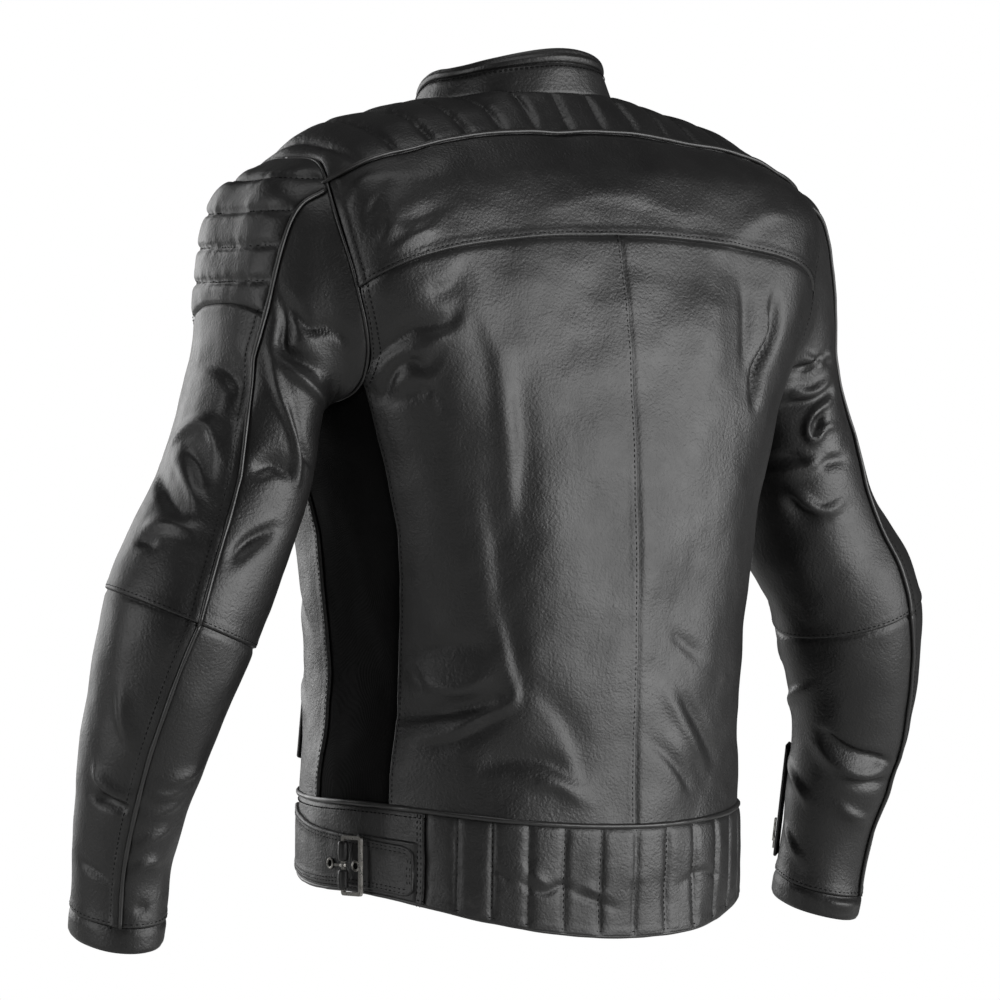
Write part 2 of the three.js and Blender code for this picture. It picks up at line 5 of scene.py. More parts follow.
import bpy
import numpy as np
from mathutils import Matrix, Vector


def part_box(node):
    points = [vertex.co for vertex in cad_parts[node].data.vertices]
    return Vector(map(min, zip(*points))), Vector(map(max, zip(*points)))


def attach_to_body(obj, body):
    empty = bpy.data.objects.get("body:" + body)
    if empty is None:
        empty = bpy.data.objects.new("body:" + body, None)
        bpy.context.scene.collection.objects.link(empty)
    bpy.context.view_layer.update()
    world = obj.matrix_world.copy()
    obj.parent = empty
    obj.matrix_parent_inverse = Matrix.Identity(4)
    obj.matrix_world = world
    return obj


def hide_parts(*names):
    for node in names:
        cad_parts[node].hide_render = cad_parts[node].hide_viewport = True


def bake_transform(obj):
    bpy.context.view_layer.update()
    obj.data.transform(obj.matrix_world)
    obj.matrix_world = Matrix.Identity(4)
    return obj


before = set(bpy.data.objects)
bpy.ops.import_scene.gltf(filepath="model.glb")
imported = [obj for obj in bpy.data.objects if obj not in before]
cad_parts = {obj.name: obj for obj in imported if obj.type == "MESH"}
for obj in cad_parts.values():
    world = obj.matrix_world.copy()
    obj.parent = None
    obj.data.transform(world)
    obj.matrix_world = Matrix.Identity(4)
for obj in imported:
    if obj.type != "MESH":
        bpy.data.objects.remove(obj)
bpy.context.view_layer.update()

# ---- camera

VIEW_AZIMUTH = math.radians(145)
VIEW_DISTANCE = 5.5
VIEW_HEIGHT = -0.308
VIEW_WIDTH = 0.8  # metres across the picture at the jacket's axis
SENSOR = 36


def add_camera():
    data = bpy.data.cameras.new("camera")
    data.sensor_width = SENSOR
    data.lens = SENSOR * VIEW_DISTANCE / VIEW_WIDTH
    data.shift_x = -0.015
    data.shift_y = -0.020
    camera = bpy.data.objects.new("camera", data)
    back = Vector((math.sin(VIEW_AZIMUTH), -math.cos(VIEW_AZIMUTH), 0))
    camera.location = back * VIEW_DISTANCE + Vector((0, 0, VIEW_HEIGHT))
    camera.rotation_euler = (-back).to_track_quat("-Z", "Y").to_euler()
    bpy.context.scene.collection.objects.link(camera)
    bpy.context.scene.camera = camera


add_camera()

# ---- the jacket's surfaces
# The same driving dimensions as the CAD model, in metres. The wearer faces -Y, left is +X.

# Level from hem to neck, half width, depth behind, squareness, heights at back, side, front.
TORSO = np.array([
    [0.00, 0.174, 0.161, 0.02, -0.665, -0.629, -0.600],
    [0.12, 0.174, 0.164, 0.02, -0.578, -0.560, -0.545],
    [0.30, 0.170, 0.167, 0.03, -0.470, -0.462, -0.450],
    [0.46, 0.183, 0.169, 0.04, -0.355, -0.350, -0.340],
    [0.62, 0.210, 0.164, 0.06, -0.240, -0.235, -0.235],
    [0.76, 0.236, 0.150, 0.09, -0.150, -0.155, -0.170],
    [0.88, 0.238, 0.130, 0.09, -0.071, -0.084, -0.110],
    [0.95, 0.188, 0.094, 0.02, -0.027, -0.033, -0.070],
    [1.00, 0.080, 0.073, 0.00, 0.000, -0.004, -0.042],
])
WAIST = 0.12
ZIP_Y = -0.086
ZIP_LEAN = 0.118
COLLAR_TOP = (0.070, 0.068, 0.0, 0.034, 0.019, -0.013)
COLLAR_BAND_START = 0.68
ARM_PHI = 1.56
ARM_LEVEL = 0.765
ARM_BACK, ARM_FRONT, ARM_UP, ARM_DOWN, ARM_SQUARE = 0.56, 0.50, 0.155, 0.165, 0.5
# Share of length, centre, tilt, pitch, half size outwards and front to back, squaring power.
SLEEVE = np.array([
    [0.13, 0.237, 0.008, -0.171, 71, 0, 0.0895, 0.082, 0.62],
    [0.30, 0.252, 0.007, -0.238, 37, 0, 0.051, 0.070, 0.85],
    [0.45, 0.275, 0.006, -0.318, 25, 0, 0.056, 0.068, 1],
    [0.64, 0.325, 0.013, -0.415, 20, 10, 0.061, 0.063, 1],
    [0.78, 0.344, -0.008, -0.509, 8, 16, 0.049, 0.052, 1],
    [0.90, 0.345, -0.036, -0.593, -2, 18, 0.039, 0.040, 1],
    [1.00, 0.342, -0.053, -0.662, -6, 16, 0.034, 0.042, 1],
])
CAP_END = 0.25
ELBOW = 0.64
CUFF_BAND = 0.972
BACK_SEAM = [[0, 42], [0.3, 40], [0.45, 58], [0.64, 70], [0.78, 62], [1, 58]]
FRONT_SEAM = math.radians(-75)
SIDE_PANEL_BACK = [[0, 69], [0.12, 69], [0.3, 68], [0.46, 64], [0.63, 66]]
SIDE_PANEL_FRONT = [[0, 99], [0.12, 99], [0.3, 95], [0.46, 94], [0.66, 103]]
QUILTED_BAND = math.radians(57.6)
YOKE_START, YOKE_LEVEL, YOKE_END = math.radians(113), 0.868, math.radians(141)
UNDERARM_BACK, UNDERARM_FRONT = 0.63, 0.66
ZIP_HALF = 0.008
LINING_DEPTH = 0.0136


def spline(keys, values, t):
    """Smooth curve through values at the keys. values has any shape after its first axis."""
    t = np.asarray(t, float)
    i = np.clip(np.searchsorted(keys, t, side="right") - 1, 0, len(keys) - 2)
    low = np.maximum(np.arange(len(keys)) - 1, 0)
    high = np.minimum(np.arange(len(keys)) + 1, len(keys) - 1)
    gap = (keys[high] - keys[low]).reshape((-1,) + (1,) * (values.ndim - 1))
    slope = (values[high] - values[low]) / gap
    h = keys[i + 1] - keys[i]
    s = ((t - keys[i]) / h)[..., None]
    h = h[..., None]

    def take(table, k):
        if table.ndim == 2:
            return table[k]
        return np.take_along_axis(table, k[None, ..., None], 0)[0]

    return ((2 * s**3 - 3 * s**2 + 1) * take(values, i) + (s**3 - 2 * s**2 + s) * h * take(slope, i)
            + (3 * s**2 - 2 * s**3) * take(values, i + 1) + (s**3 - s**2) * h * take(slope, i + 1))


def seam_angle(rows):
    keys, degrees = np.array(rows, float).T
    return lambda t: np.radians(np.interp(t, keys, degrees))


def ring_point(phi, half_width, back, square, z_back, z_side, z_front):
    behind = np.cos(phi) > 0
    depth = np.where(behind, back, -(ZIP_Y + ZIP_LEAN * z_front))
    x = half_width * (np.sin(phi) + square * np.sin(3 * phi)) / (1 - square)
    y = depth * (np.cos(phi) - square * np.cos(3 * phi)) / (1 - square)
    z = z_side + (np.where(behind, z_back, z_front) - z_side) * np.cos(phi) ** 2
    return np.stack([x, y, z], -1)


def torso(phi, level):
    phi, level = np.broadcast_arrays(np.asarray(phi, float), np.asarray(level, float))
    row = spline(TORSO[:, 0], TORSO[:, 1:], level)
    return ring_point(phi, *np.moveaxis(row, -1, 0))


def collar(phi, share):
    phi, share = np.broadcast_arrays(np.asarray(phi, float), np.asarray(share, float))
    low = torso(phi, np.ones_like(phi))
    return low + (ring_point(phi, *COLLAR_TOP) - low) * share[..., None]


def armhole_at(theta):
    c, s = np.cos(theta), np.sin(theta)
    side = np.where(s > 0, ARM_BACK, ARM_FRONT) * np.sign(s) * abs(s) ** ARM_SQUARE
    return ARM_PHI - side, ARM_LEVEL + np.where(c > 0, ARM_UP, ARM_DOWN) * c


def armhole_angle(level, back):
    level = np.asarray(level, float)
    c = (level - ARM_LEVEL) / np.where(level > ARM_LEVEL, ARM_UP, ARM_DOWN)
    s = np.sqrt(np.maximum(0, 1 - c * c)) ** ARM_SQUARE
    return ARM_PHI + (-ARM_BACK if back else ARM_FRONT) * s


def armhole_level(phi, upper):
    phi = np.asarray(phi, float)
    s = np.minimum(abs(phi - ARM_PHI) / np.where(phi < ARM_PHI, ARM_BACK, ARM_FRONT), 1)
    c = np.sqrt(1 - s ** (2 / ARM_SQUARE))
    return ARM_LEVEL + (ARM_UP if upper else -ARM_DOWN) * c


def arm_directions(tilt, pitch):
    """Directions along the arm and towards its back, for a tilt and a pitch in degrees."""
    tilt, pitch = math.radians(tilt), math.radians(pitch)
    along = np.array([math.sin(tilt), -math.sin(pitch) * math.cos(tilt),
                      -math.cos(tilt) * math.cos(pitch)])
    return along, np.array([0, math.cos(pitch), -math.sin(pitch)])


def sleeve_ring(row, theta):
    _, x, y, z, tilt, pitch, out, deep, power = row
    along, back = arm_directions(tilt, pitch)
    outward = np.cross(along, back)
    outward /= np.linalg.norm(outward)
    side = deep * np.sign(np.sin(theta)) * abs(np.sin(theta)) ** power
    return np.array([x, y, z]) + out * np.cos(theta)[..., None] * outward + side[..., None] * back


def sleeve(theta, share):
    theta, share = np.broadcast_arrays(np.asarray(theta, float), np.asarray(share, float))
    rings = [torso(*armhole_at(theta))] + [sleeve_ring(row, theta) for row in SLEEVE]
    return spline(np.concatenate([[0], SLEEVE[:, 0]]), np.stack(rings), share)


STEP = 1e-3


def unit(vectors):
    return vectors / (np.linalg.norm(vectors, axis=-1, keepdims=True) + 1e-12)


def skin(surface, side=1):
    """Function giving a surface's points and outward normals, mirrored in x for side -1."""
    flip = np.array([side, 1, 1])

    def at(a, b):
        a, b = np.broadcast_arrays(np.asarray(a, float), np.asarray(b, float))
        low, high = np.where(b < STEP, b, b - STEP), np.where(b > 1 - STEP, b, b + STEP)
        along = surface(a, high) - surface(a, low)
        across = surface(a + STEP, b) - surface(a - STEP, b)
        return surface(a, b) * flip, unit(np.cross(along, across)) * flip

    at.side = side
    return at


def between(left, right, low, high):
    """Region between two side edges, given by level, and two end edges, given by angle."""
    levels = np.linspace(0, 1, 60)
    first, last = np.min(left(levels)), np.max(right(levels))

    def place(s, t):
        s, t = np.broadcast_arrays(s, t)
        start, end = np.full(s.shape, first), np.full(s.shape, last)
        for _ in range(30):
            a = (start + end) / 2
            bottom = low(a)
            b = bottom + t * (high(a) - bottom)
            edge = left(b)
            beyond = a - edge > s * (right(b) - edge)
            start, end = np.where(beyond, start, a), np.where(beyond, a, end)
        return a, b
    return place


def fixed(value):
    return lambda x: value + 0 * np.asarray(x, float)


back_seam = seam_angle(BACK_SEAM)
side_back = seam_angle(SIDE_PANEL_BACK)
side_front = seam_angle(SIDE_PANEL_FRONT)


def back_edge(level):
    return np.where(level < UNDERARM_BACK, side_back(level), armhole_angle(level, True))


def front_edge(level):
    return np.where(level < UNDERARM_FRONT, side_front(level), armhole_angle(level, False))


def yoke_seam(phi):
    return 0.81 - 0.062 * phi * phi


def piping_seam(phi):
    return 0.938 - 0.040 * phi * phi


def zip_edge(level):
    return math.pi - ZIP_HALF / spline(TORSO[:, 0], TORSO[:, 1:2], level)[..., 0]


def yoke_front(phi):
    share = np.clip((abs(phi) - YOKE_START) / (YOKE_END - YOKE_START), 0, 1)
    return YOKE_LEVEL + (1 - YOKE_LEVEL) * share ** 1.5


def yoke_edge(phi):
    a = abs(phi)
    seam = np.where(a < ARM_PHI, piping_seam(a), yoke_front(a))
    beside = (a > ARM_PHI - ARM_BACK) & (a < ARM_PHI + ARM_FRONT)
    return np.where(beside, np.maximum(seam, armhole_level(a, True)), seam)


# ---- relief: folds and waves

def waves(points, size, seed, count=22):
    """Smooth random relief of about unit height, with bumps of the given size."""
    rng = np.random.default_rng(seed)
    direction = rng.normal(size=(count, 3))
    wave = unit(direction) * (2 * math.pi / size * rng.uniform(0.6, 1.3, (count, 1)))
    phase = rng.uniform(0, 2 * math.pi, count)
    return np.cos(points @ wave.T + phase).sum(-1) * math.sqrt(2 / count)


FOLDS = []
SLEEVE_DEPTH = 1.3  # the sleeves crease more deeply than the body


def folds(text):
    """A table of folds. Each line has the height and half width in millimetres, then, after
    the colon, the angle in degrees and the level at each point along the fold."""
    rows = []
    for line in text.strip().splitlines():
        size, path = line.split(":")
        height, width = map(float, size.split())
        rows.append((height, width, [tuple(map(float, point.split())) for point in path.split(",")]))
    return rows


BACK_FOLDS = folds("""
-5 9: 64 .64, 58 .66, 46 .69, 36 .7, 32 .72
3 7: 58 .64, 50 .66, 43 .67, 36 .69
-4 6: 64 .61, 60 .61, 55 .64, 50 .65, 46 .64, 41 .66
3 8: 56 .62, 49 .63, 44 .62
-3 8: 61 .6, 52 .61, 45 .62, 44 .59
-3 10: 27 .78, 32 .75, 38 .74
3 16: 27 .73, 27 .66, 29 .59, 30 .5
-3.5 12: 24 .64, 26 .56, 29 .48
-3 16: 36 .52, 36 .44, 36 .37
-6 10: 66 .25, 56 .26, 46 .27, 38 .28
4 7: 63 .22, 52 .23, 42 .26, 34 .28, 33 .31
-3 9: 56 .21, 46 .23, 36 .26
-4 10: 42 .19, 32 .2, 24 .2, 17 .18
3 8: 28 .17, 22 .17, 15 .15
-3 10: 64 .33, 52 .34, 40 .34
3 9: 62 .3, 50 .29, 40 .31
-1.2 3: 64 .32, 59 .29
-3 10: 35 .38, 33 .33, 32 .29
-2.5 14: 29 .3, 20 .26, 15 .2, 13 .17
-3.5 8: -13 .29, -20 .25, -29 .2
2.5 9: -7 .3, -17 .23, -26 .18
-3 8: -4 .23, -11 .2, -18 .16
-2.5 7: -10 .36, -20 .33
2.5 8: 48 .89, 52 .88, 54 .86
-3 9: 42 .88, 47 .85, 50 .83
2 7: 42 .85, 44 .82, 48 .8
2 6: 33 .82, 38 .81, 45 .79
-2 9: 41 .83, 36 .83, 28 .85
1 13: 14 .835, 2 .86, -12 .84
2 12: -18 .8, -26 .84, -34 .85
-9 7: -30 .74, -32 .69, -30 .65, -30 .61
1.5 3: -28 .73, -30 .7, -28 .65
-3.5 8: -22 .76, -24 .7, -25 .66
""")

# On the sleeves the angle runs from the outer side round the back, with share of length.
LEFT_SLEEVE_FOLDS = folds("""
-7 8: 46 .22, 56 .24, 61 .27, 78 .27, 102 .25
-4 6: 58 .22, 84 .21, 114 .1
4 5: 49 .28, 68 .33, 90 .37, 102 .41, 104 .43
4 6: 60 .29, 94 .29, 132 .28
-3 4: 82 .34, 102 .38, 126 .39
-5 9: 66 .44, 81 .42, 98 .42
-6 7: 100 .49, 83 .52, 75 .55
-5 14: -16 .31, 14 .32, 32 .34, 36 .38
4 8: -16 .42, 6 .4, 22 .4, 36 .43
-5 10: 7 .43, 23 .45, 36 .48
3 8: -5 .44, 24 .48, 36 .51
-4 10: -32 .45, 8 .5, 34 .53
4 9: -1 .55, 26 .54, 47 .54
-3 8: 0 .57, 20 .57
4 7: 11 .81, 18 .82, 38 .83, 60 .83
-6 7: 15 .84, 32 .84, 54 .84
-2.5 6: 2 .91, 42 .92
3 8: 22 .73, 32 .76, 44 .78
3 7: 73 .81, 96 .8, 117 .79
3 6: 69 .82, 86 .82, 106 .81
3 6: 68 .85, 87 .84, 108 .83
3 6: 65 .89, 85 .87, 106 .86
3 6: 64 .92, 84 .9, 106 .9
-2 6: 76 .95, 96 .95
""")

# The right arm is pushed up a little, so its folds are closer together.
RIGHT_SLEEVE_FOLDS = folds("""
4 5: 134 0, 102 .21, 69 .26
-5 5: 138 .02, 115 .18, 88 .24, 70 .27
4 9: 144 .11, 114 .26, 79 .29
-5 6: 130 .26, 107 .29, 86 .3, 75 .3
4.5 3.5: 83 .32, 104 .32, 112 .34, 107 .36, 94 .35, 80 .36
-4 4: 92 .33, 102 .34, 94 .35
-3 6: 148 .36, 128 .37, 116 .39
3 6: 148 .38, 122 .39, 106 .39
4 6: 139 .41, 126 .43, 113 .46, 92 .46
-4 7: 136 .42, 130 .45, 113 .47
-3 6: 106 .4, 94 .4, 75 .41
4.5 9: 158 .79, 132 .81, 102 .82, 77 .81
-5 6: 153 .77, 127 .79, 96 .8, 74 .81
-5 6: 122 .83, 98 .83, 75 .83
3 6: 126 .86, 104 .87, 75 .88
2.5 5: 198 .91, 170 .93, 155 .94
3 6: 218 .83, 178 .85, 152 .87
3 6: 214 .76, 189 .73, 167 .71
2.5 6: 120 .98, 98 .98, 66 .98
""")

# Folds on both sides alike, in the crook of each elbow and across the chest.
SLEEVE_FRONT_FOLDS = folds("""
-4 8: 200 .3, 240 .33, 280 .34
3 8: 225 .37, 255 .4, 280 .41
-5 8: 230 .47, 255 .5, 280 .52
4 8: 215 .53, 245 .56, 275 .57
-5 8: 205 .6, 240 .62, 275 .63
3 8: 210 .69, 245 .67, 280 .68
-3.5 7: 215 .74, 250 .73, 282 .74
2.5 8: 225 .84, 255 .83, 280 .84
""")
CHEST_FOLDS = folds("""
-3 10: 120 .6, 135 .66, 150 .7
2.5 9: 115 .56, 130 .6, 148 .63
-3 10: 108 .36, 125 .4, 145 .42
2.5 10: 112 .24, 130 .28, 150 .27
-2.5 10: 140 .18, 155 .22, 170 .2
""")
BAND_FOLDS = folds("""
-2.2 4: 31 .05, 25 .042, 20 .052, 17 .05
-2 4: 17 .045, 11 .038, 5 .03
-1.5 4: 39 .065, 34 .05
1.5 4: 29 .062, 24 .052
1.5 4: 14 .052, 8 .045
-1.6 4: -14 .05, -22 .06, -30 .05
""")


def fold(surface, path, height, width, side=1, steep=0.5):
    """A fold along a path of (angle in degrees, level or share). A negative height is a valley.
    Its right-hand flank, looking along the path from outside, is steeper."""
    a, b = np.array(path, float).T
    u = np.linspace(0, 1, len(path))
    fine = np.linspace(0, 1, 28)
    angle = spline(u, np.radians(a)[:, None], fine)[:, 0]
    level = spline(u, b[:, None], fine)[:, 0]
    points, normals = skin(surface, side)(angle, level)
    FOLDS.append((points, normals, fine, height, width, steep if side > 0 else -steep))


def add_folds():
    for table, surface, side in ((BACK_FOLDS, torso, 1), (BAND_FOLDS, torso, 1),
                                 (LEFT_SLEEVE_FOLDS, sleeve, 1), (RIGHT_SLEEVE_FOLDS, sleeve, -1),
                                 (SLEEVE_FRONT_FOLDS, sleeve, 1), (SLEEVE_FRONT_FOLDS, sleeve, -1),
                                 (CHEST_FOLDS, torso, 1), (CHEST_FOLDS, torso, -1)):
        for height, width, path in table:
            depth = SLEEVE_DEPTH if surface is sleeve else 1
            fold(surface, path, depth * height / 1000, width / 1000, side)


def fold_height(points, entry):
    line, normals, share, height, width, steep = entry
    total = np.zeros(len(points))
    reach = 2.6 * width
    near = ((points > line.min(0) - reach) & (points < line.max(0) + reach)).all(1)
    p = points[near]
    if not len(p):
        return total
    segment = line[1:] - line[:-1]
    length = np.einsum("ij,ij->i", segment, segment)
    best = np.full(len(p), 1e9)
    off = np.zeros(len(p))
    where = np.zeros(len(p))
    for k in range(len(segment)):
        w = np.clip((p - line[k]) @ segment[k] / length[k], 0, 1)
        gap = p - line[k] - w[:, None] * segment[k]
        distance = np.linalg.norm(gap, axis=1)
        closer = distance < best
        across = np.cross(segment[k], normals[k])
        best = np.where(closer, distance, best)
        off = np.where(closer, distance * np.sign(gap @ across), off)
        where = np.where(closer, share[k] + w * (share[k + 1] - share[k]), where)
    flank = np.where(off * np.sign(steep) > 0, abs(steep), 1.0) * width
    taper = np.sin(math.pi * np.clip(where * 0.92 + 0.04, 0, 1)) ** 0.7
    total[near] = height * taper * np.exp(-(off / flank) ** 2)
    return total


def relief(points):
    flat = points.reshape(-1, 3)
    total = (0.0009 * waves(flat, 0.085, 3) + 0.0003 * waves(flat, 0.044, 4)
             + 0.00010 * waves(flat, 0.022, 5))
    for entry in FOLDS:
        total += fold_height(flat, entry)
    return total.reshape(points.shape[:-1])


add_folds()


# ---- mesh making

MATERIALS = {}
COLLECTION = bpy.context.scene.collection


def make(name, vertices, faces, look, attach, slot=None, smooth=True):
    mesh = bpy.data.meshes.new(name)
    mesh.from_pydata(np.asarray(vertices).reshape(-1, 3).tolist(), [], faces)
    mesh.polygons.foreach_set("use_smooth", [smooth] * len(mesh.polygons))
    mesh.update()
    piece = bpy.data.objects.new(name, mesh)
    COLLECTION.objects.link(piece)
    mesh.materials.append(MATERIALS[look])
    if isinstance(attach, str):
        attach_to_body(piece, attach)
    else:
        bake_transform(piece)
    return piece


def spread(length, step):
    """Grid positions from 0 to 1, closer together near both ends."""
    edge = np.array([0, 0.0004, 0.0009, 0.0016, 0.0026, 0.0040])
    count = max(int(round((length - 0.012) / step)), 2)
    middle = np.linspace(0.006, length - 0.006, count + 1)
    return np.concatenate([edge, middle, length - edge[::-1]]) / length


def edge_distances(points):
    """Distance of each grid point from the grid's left, right, low and high edges."""
    out = {}
    for axis, (first, last) in enumerate((("left", "right"), ("low", "high"))):
        gap = np.linalg.norm(np.diff(points, axis=axis), axis=-1)
        start = np.cumsum(gap, axis=axis)
        pad = [(0, 0), (0, 0)]
        pad[axis] = (1, 0)
        start = np.pad(start, pad)
        total = start.take([-1], axis=axis)
        out[first], out[last] = start, total - start
    return out


STITCH_IN = 0.0035  # stitch row's distance from an edge
WELT = 0.008  # width of a stitched strip
ON_LAP, ON_WELT = 0.0004, 0.0002  # height of stitches above the skin


def bell(distance, width):
    return np.exp(-(distance / width) ** 2)


def smooth_step(low, high, x):
    s = np.clip((x - low) / (high - low), 0, 1)
    return s * s * (3 - 2 * s)


def edge_height(style, d):
    """Relief of a panel beside its edge: a turned edge, one lapped over, or a stitched strip."""
    if style == "turned":
        return -0.0013 * bell(d, 0.0017)
    if style == "under":
        return -0.0014 * bell(d, 0.0030)
    if style == "lap":
        groove = 0.00035 * bell(d - STITCH_IN, 0.0009)
        return 0.0007 * (1 - smooth_step(0.004, 0.009, d)) - groove - 0.0018 * bell(d, 0.0007)
    if style == "welt":
        strip = 0.0010 * (1 - smooth_step(WELT - 0.001, WELT + 0.0015, d))
        return strip - 0.0005 * bell(d - WELT, 0.0008) - 0.0022 * bell(d, 0.0009)
    return 0 * d


def sheet_faces(n, m, flip):
    """Quads of a closed sheet: top and under layers of n by m points and the rim."""
    index = np.arange(n * m).reshape(n, m)
    under = index + n * m

    def quads(a, b, c, d):
        return np.stack([x.ravel() for x in (a, b, c, d)], 1)

    top = quads(index[:-1, :-1], index[:-1, 1:], index[1:, 1:], index[1:, :-1])
    low = quads(under[:-1, :-1], under[1:, :-1], under[1:, 1:], under[:-1, 1:])
    rim = [quads(index[:-1, 0], index[1:, 0], under[1:, 0], under[:-1, 0]),
           quads(index[:-1, -1], under[:-1, -1], under[1:, -1], index[1:, -1]),
           quads(index[0, :-1], under[0, :-1], under[0, 1:], index[0, 1:]),
           quads(index[-1, :-1], index[-1, 1:], under[-1, 1:], under[-1, :-1])]
    faces = np.concatenate([top, low, *rim])
    return (faces[:, ::-1] if flip else faces).tolist()


def panel(name, at, place, size, edges, look, attach, lift=0.0, thick=0.0016, step=0.0028,
          shape=None, slot=None, flat=False, replaces=()):
    """A leather or cloth panel over a skin. shape adds a height of its own."""
    s, t = np.meshgrid(spread(size[0], step), spread(size[1], step), indexing="ij")
    points, normals = at(*place(s, t))
    reach = edge_distances(points)
    height = lift + (0 if flat else relief(points))
    for edge, style in edges.items():
        height = height + edge_height(style, reach[edge])
    if shape:
        height = height + shape(points, reach, s, t)
    top = points + normals * height[..., None]
    under = points + normals * (height - thick)[..., None]
    vertices = np.concatenate([top.reshape(-1, 3), under.reshape(-1, 3)])
    faces = sheet_faces(*s.shape, at.side < 0)
    piece = make(name, vertices, faces, look, attach, slot)
    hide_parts(*(replaces or [name]))
    return piece


def along_edge(place, edge, inset, at, count=160, start=0.0, end=1.0):
    """Surface parameters of a line at a distance inside one edge of a panel."""
    u = np.linspace(start, end, count)
    zero = np.zeros_like(u)
    first = edge in ("left", "low")
    near, far = (0, 0.02) if first else (1, 0.98)
    pair = [(zero + v, u) if edge in ("left", "right") else (u, zero + v) for v in (near, far)]
    points = [at(*place(*p))[0] for p in pair]
    scale = np.linalg.norm(points[1] - points[0], axis=-1) / 0.02
    move = np.clip(inset / np.maximum(scale, 1e-6), 0, 0.5)
    v = move if first else 1 - move
    return place(v, u) if edge in ("left", "right") else place(u, v)


def resample(points, normals, pitch):
    gap = np.linalg.norm(np.diff(points, axis=0), axis=1)
    length = np.concatenate([[0], np.cumsum(gap)])
    count = max(int(length[-1] / pitch), 2)
    u = np.linspace(0, length[-1], count)
    return [np.stack([np.interp(u, length, x[:, k]) for k in range(3)], 1)
            for x in (points, normals)]


def frames_along(points, normals):
    """Tangent, side and normal at each point of a line."""
    tangent = unit(np.gradient(points, axis=0))
    side = unit(np.cross(tangent, normals))
    return tangent, side, np.cross(side, tangent)


def copies(template, faces, origins, axes):
    """Vertices and faces of a template repeated at each origin, in its own axes."""
    template = np.asarray(template, float)
    basis = np.stack(axes, 1)
    vertices = origins[:, None] + np.einsum("kj,nji->nki", template, basis)
    count = len(template)
    repeated = [tuple(v + n * count for v in face) for n in range(len(origins)) for face in faces]
    return vertices.reshape(-1, 3), repeated


THREAD = 0.00045
STITCH_PITCH = 0.0042


def loft(rings, clockwise=False):
    """Closed solid through rings of points, which turn anticlockwise seen from the last ring."""
    rings = np.asarray(rings, float)
    count, sides = rings.shape[:2]
    faces = [tuple(range(sides - 1, -1, -1)), tuple(range((count - 1) * sides, count * sides))]
    for start in range(0, (count - 1) * sides, sides):
        for j in range(sides):
            n = (j + 1) % sides
            faces.append((start + j, start + n, start + sides + n, start + sides + j))
    if clockwise:
        faces = [face[:1] + face[:0:-1] for face in faces]
    return rings.reshape(-1, 3), faces


def stitch_template():
    half = STITCH_PITCH * 0.36
    turn = np.arange(5) * 2 * math.pi / 5
    rings = []
    for x, z, thin in ((-half, -THREAD, 0.45), (-half * 0.55, 0, 1), (half * 0.55, 0, 1),
                       (half, -THREAD, 0.45)):
        r = THREAD * thin
        rings.append([(x, r * math.cos(a), z + r * math.sin(a)) for a in turn])
    return loft(rings)


class Joined:
    """Collects small meshes that become one piece."""

    def __init__(self):
        self.vertices = []
        self.faces = []
        self.count = 0

    def add(self, vertices, faces):
        self.vertices.append(np.asarray(vertices).reshape(-1, 3))
        self.faces += [tuple(v + self.count for v in face) for face in faces]
        self.count += len(self.vertices[-1])

    def make(self, *args, **kwargs):
        return make(args[0], np.concatenate(self.vertices), self.faces, *args[1:], **kwargs)


def stitch(group, at, line, lift=0.0, shape=None):
    points, normals = at(*line)
    height = lift + relief(points) + (shape(points) if shape else 0)
    points = points + normals * np.asarray(height)[..., None]
    points, normals = resample(points, normals, STITCH_PITCH)
    group.add(*copies(*stitch_template(), points, frames_along(points, normals)))


def tube(points, normals, radius, sides=10, squash=1.0):
    """Closed tube along a line, its radius one number or one for each point."""
    tangent, side, up = frames_along(points, normals)
    radius = np.broadcast_to(radius, len(points))
    turn = np.arange(sides) * 2 * math.pi / sides
    ring = (np.cos(turn)[None, :, None] * side[:, None]
            + squash * np.sin(turn)[None, :, None] * up[:, None])
    return loft(points[:, None] + ring * radius[:, None, None], clockwise=True)


def piping(group, at, line, radius, lift, pitch=0.004):
    points, normals = at(*line)
    points = points + normals * (lift + relief(points))[..., None]
    points, normals = resample(points, normals, pitch)
    wobble = 1 + 0.06 * waves(points, 0.02, 11)
    group.add(*tube(points, normals, radius * wobble))


# ---- materials

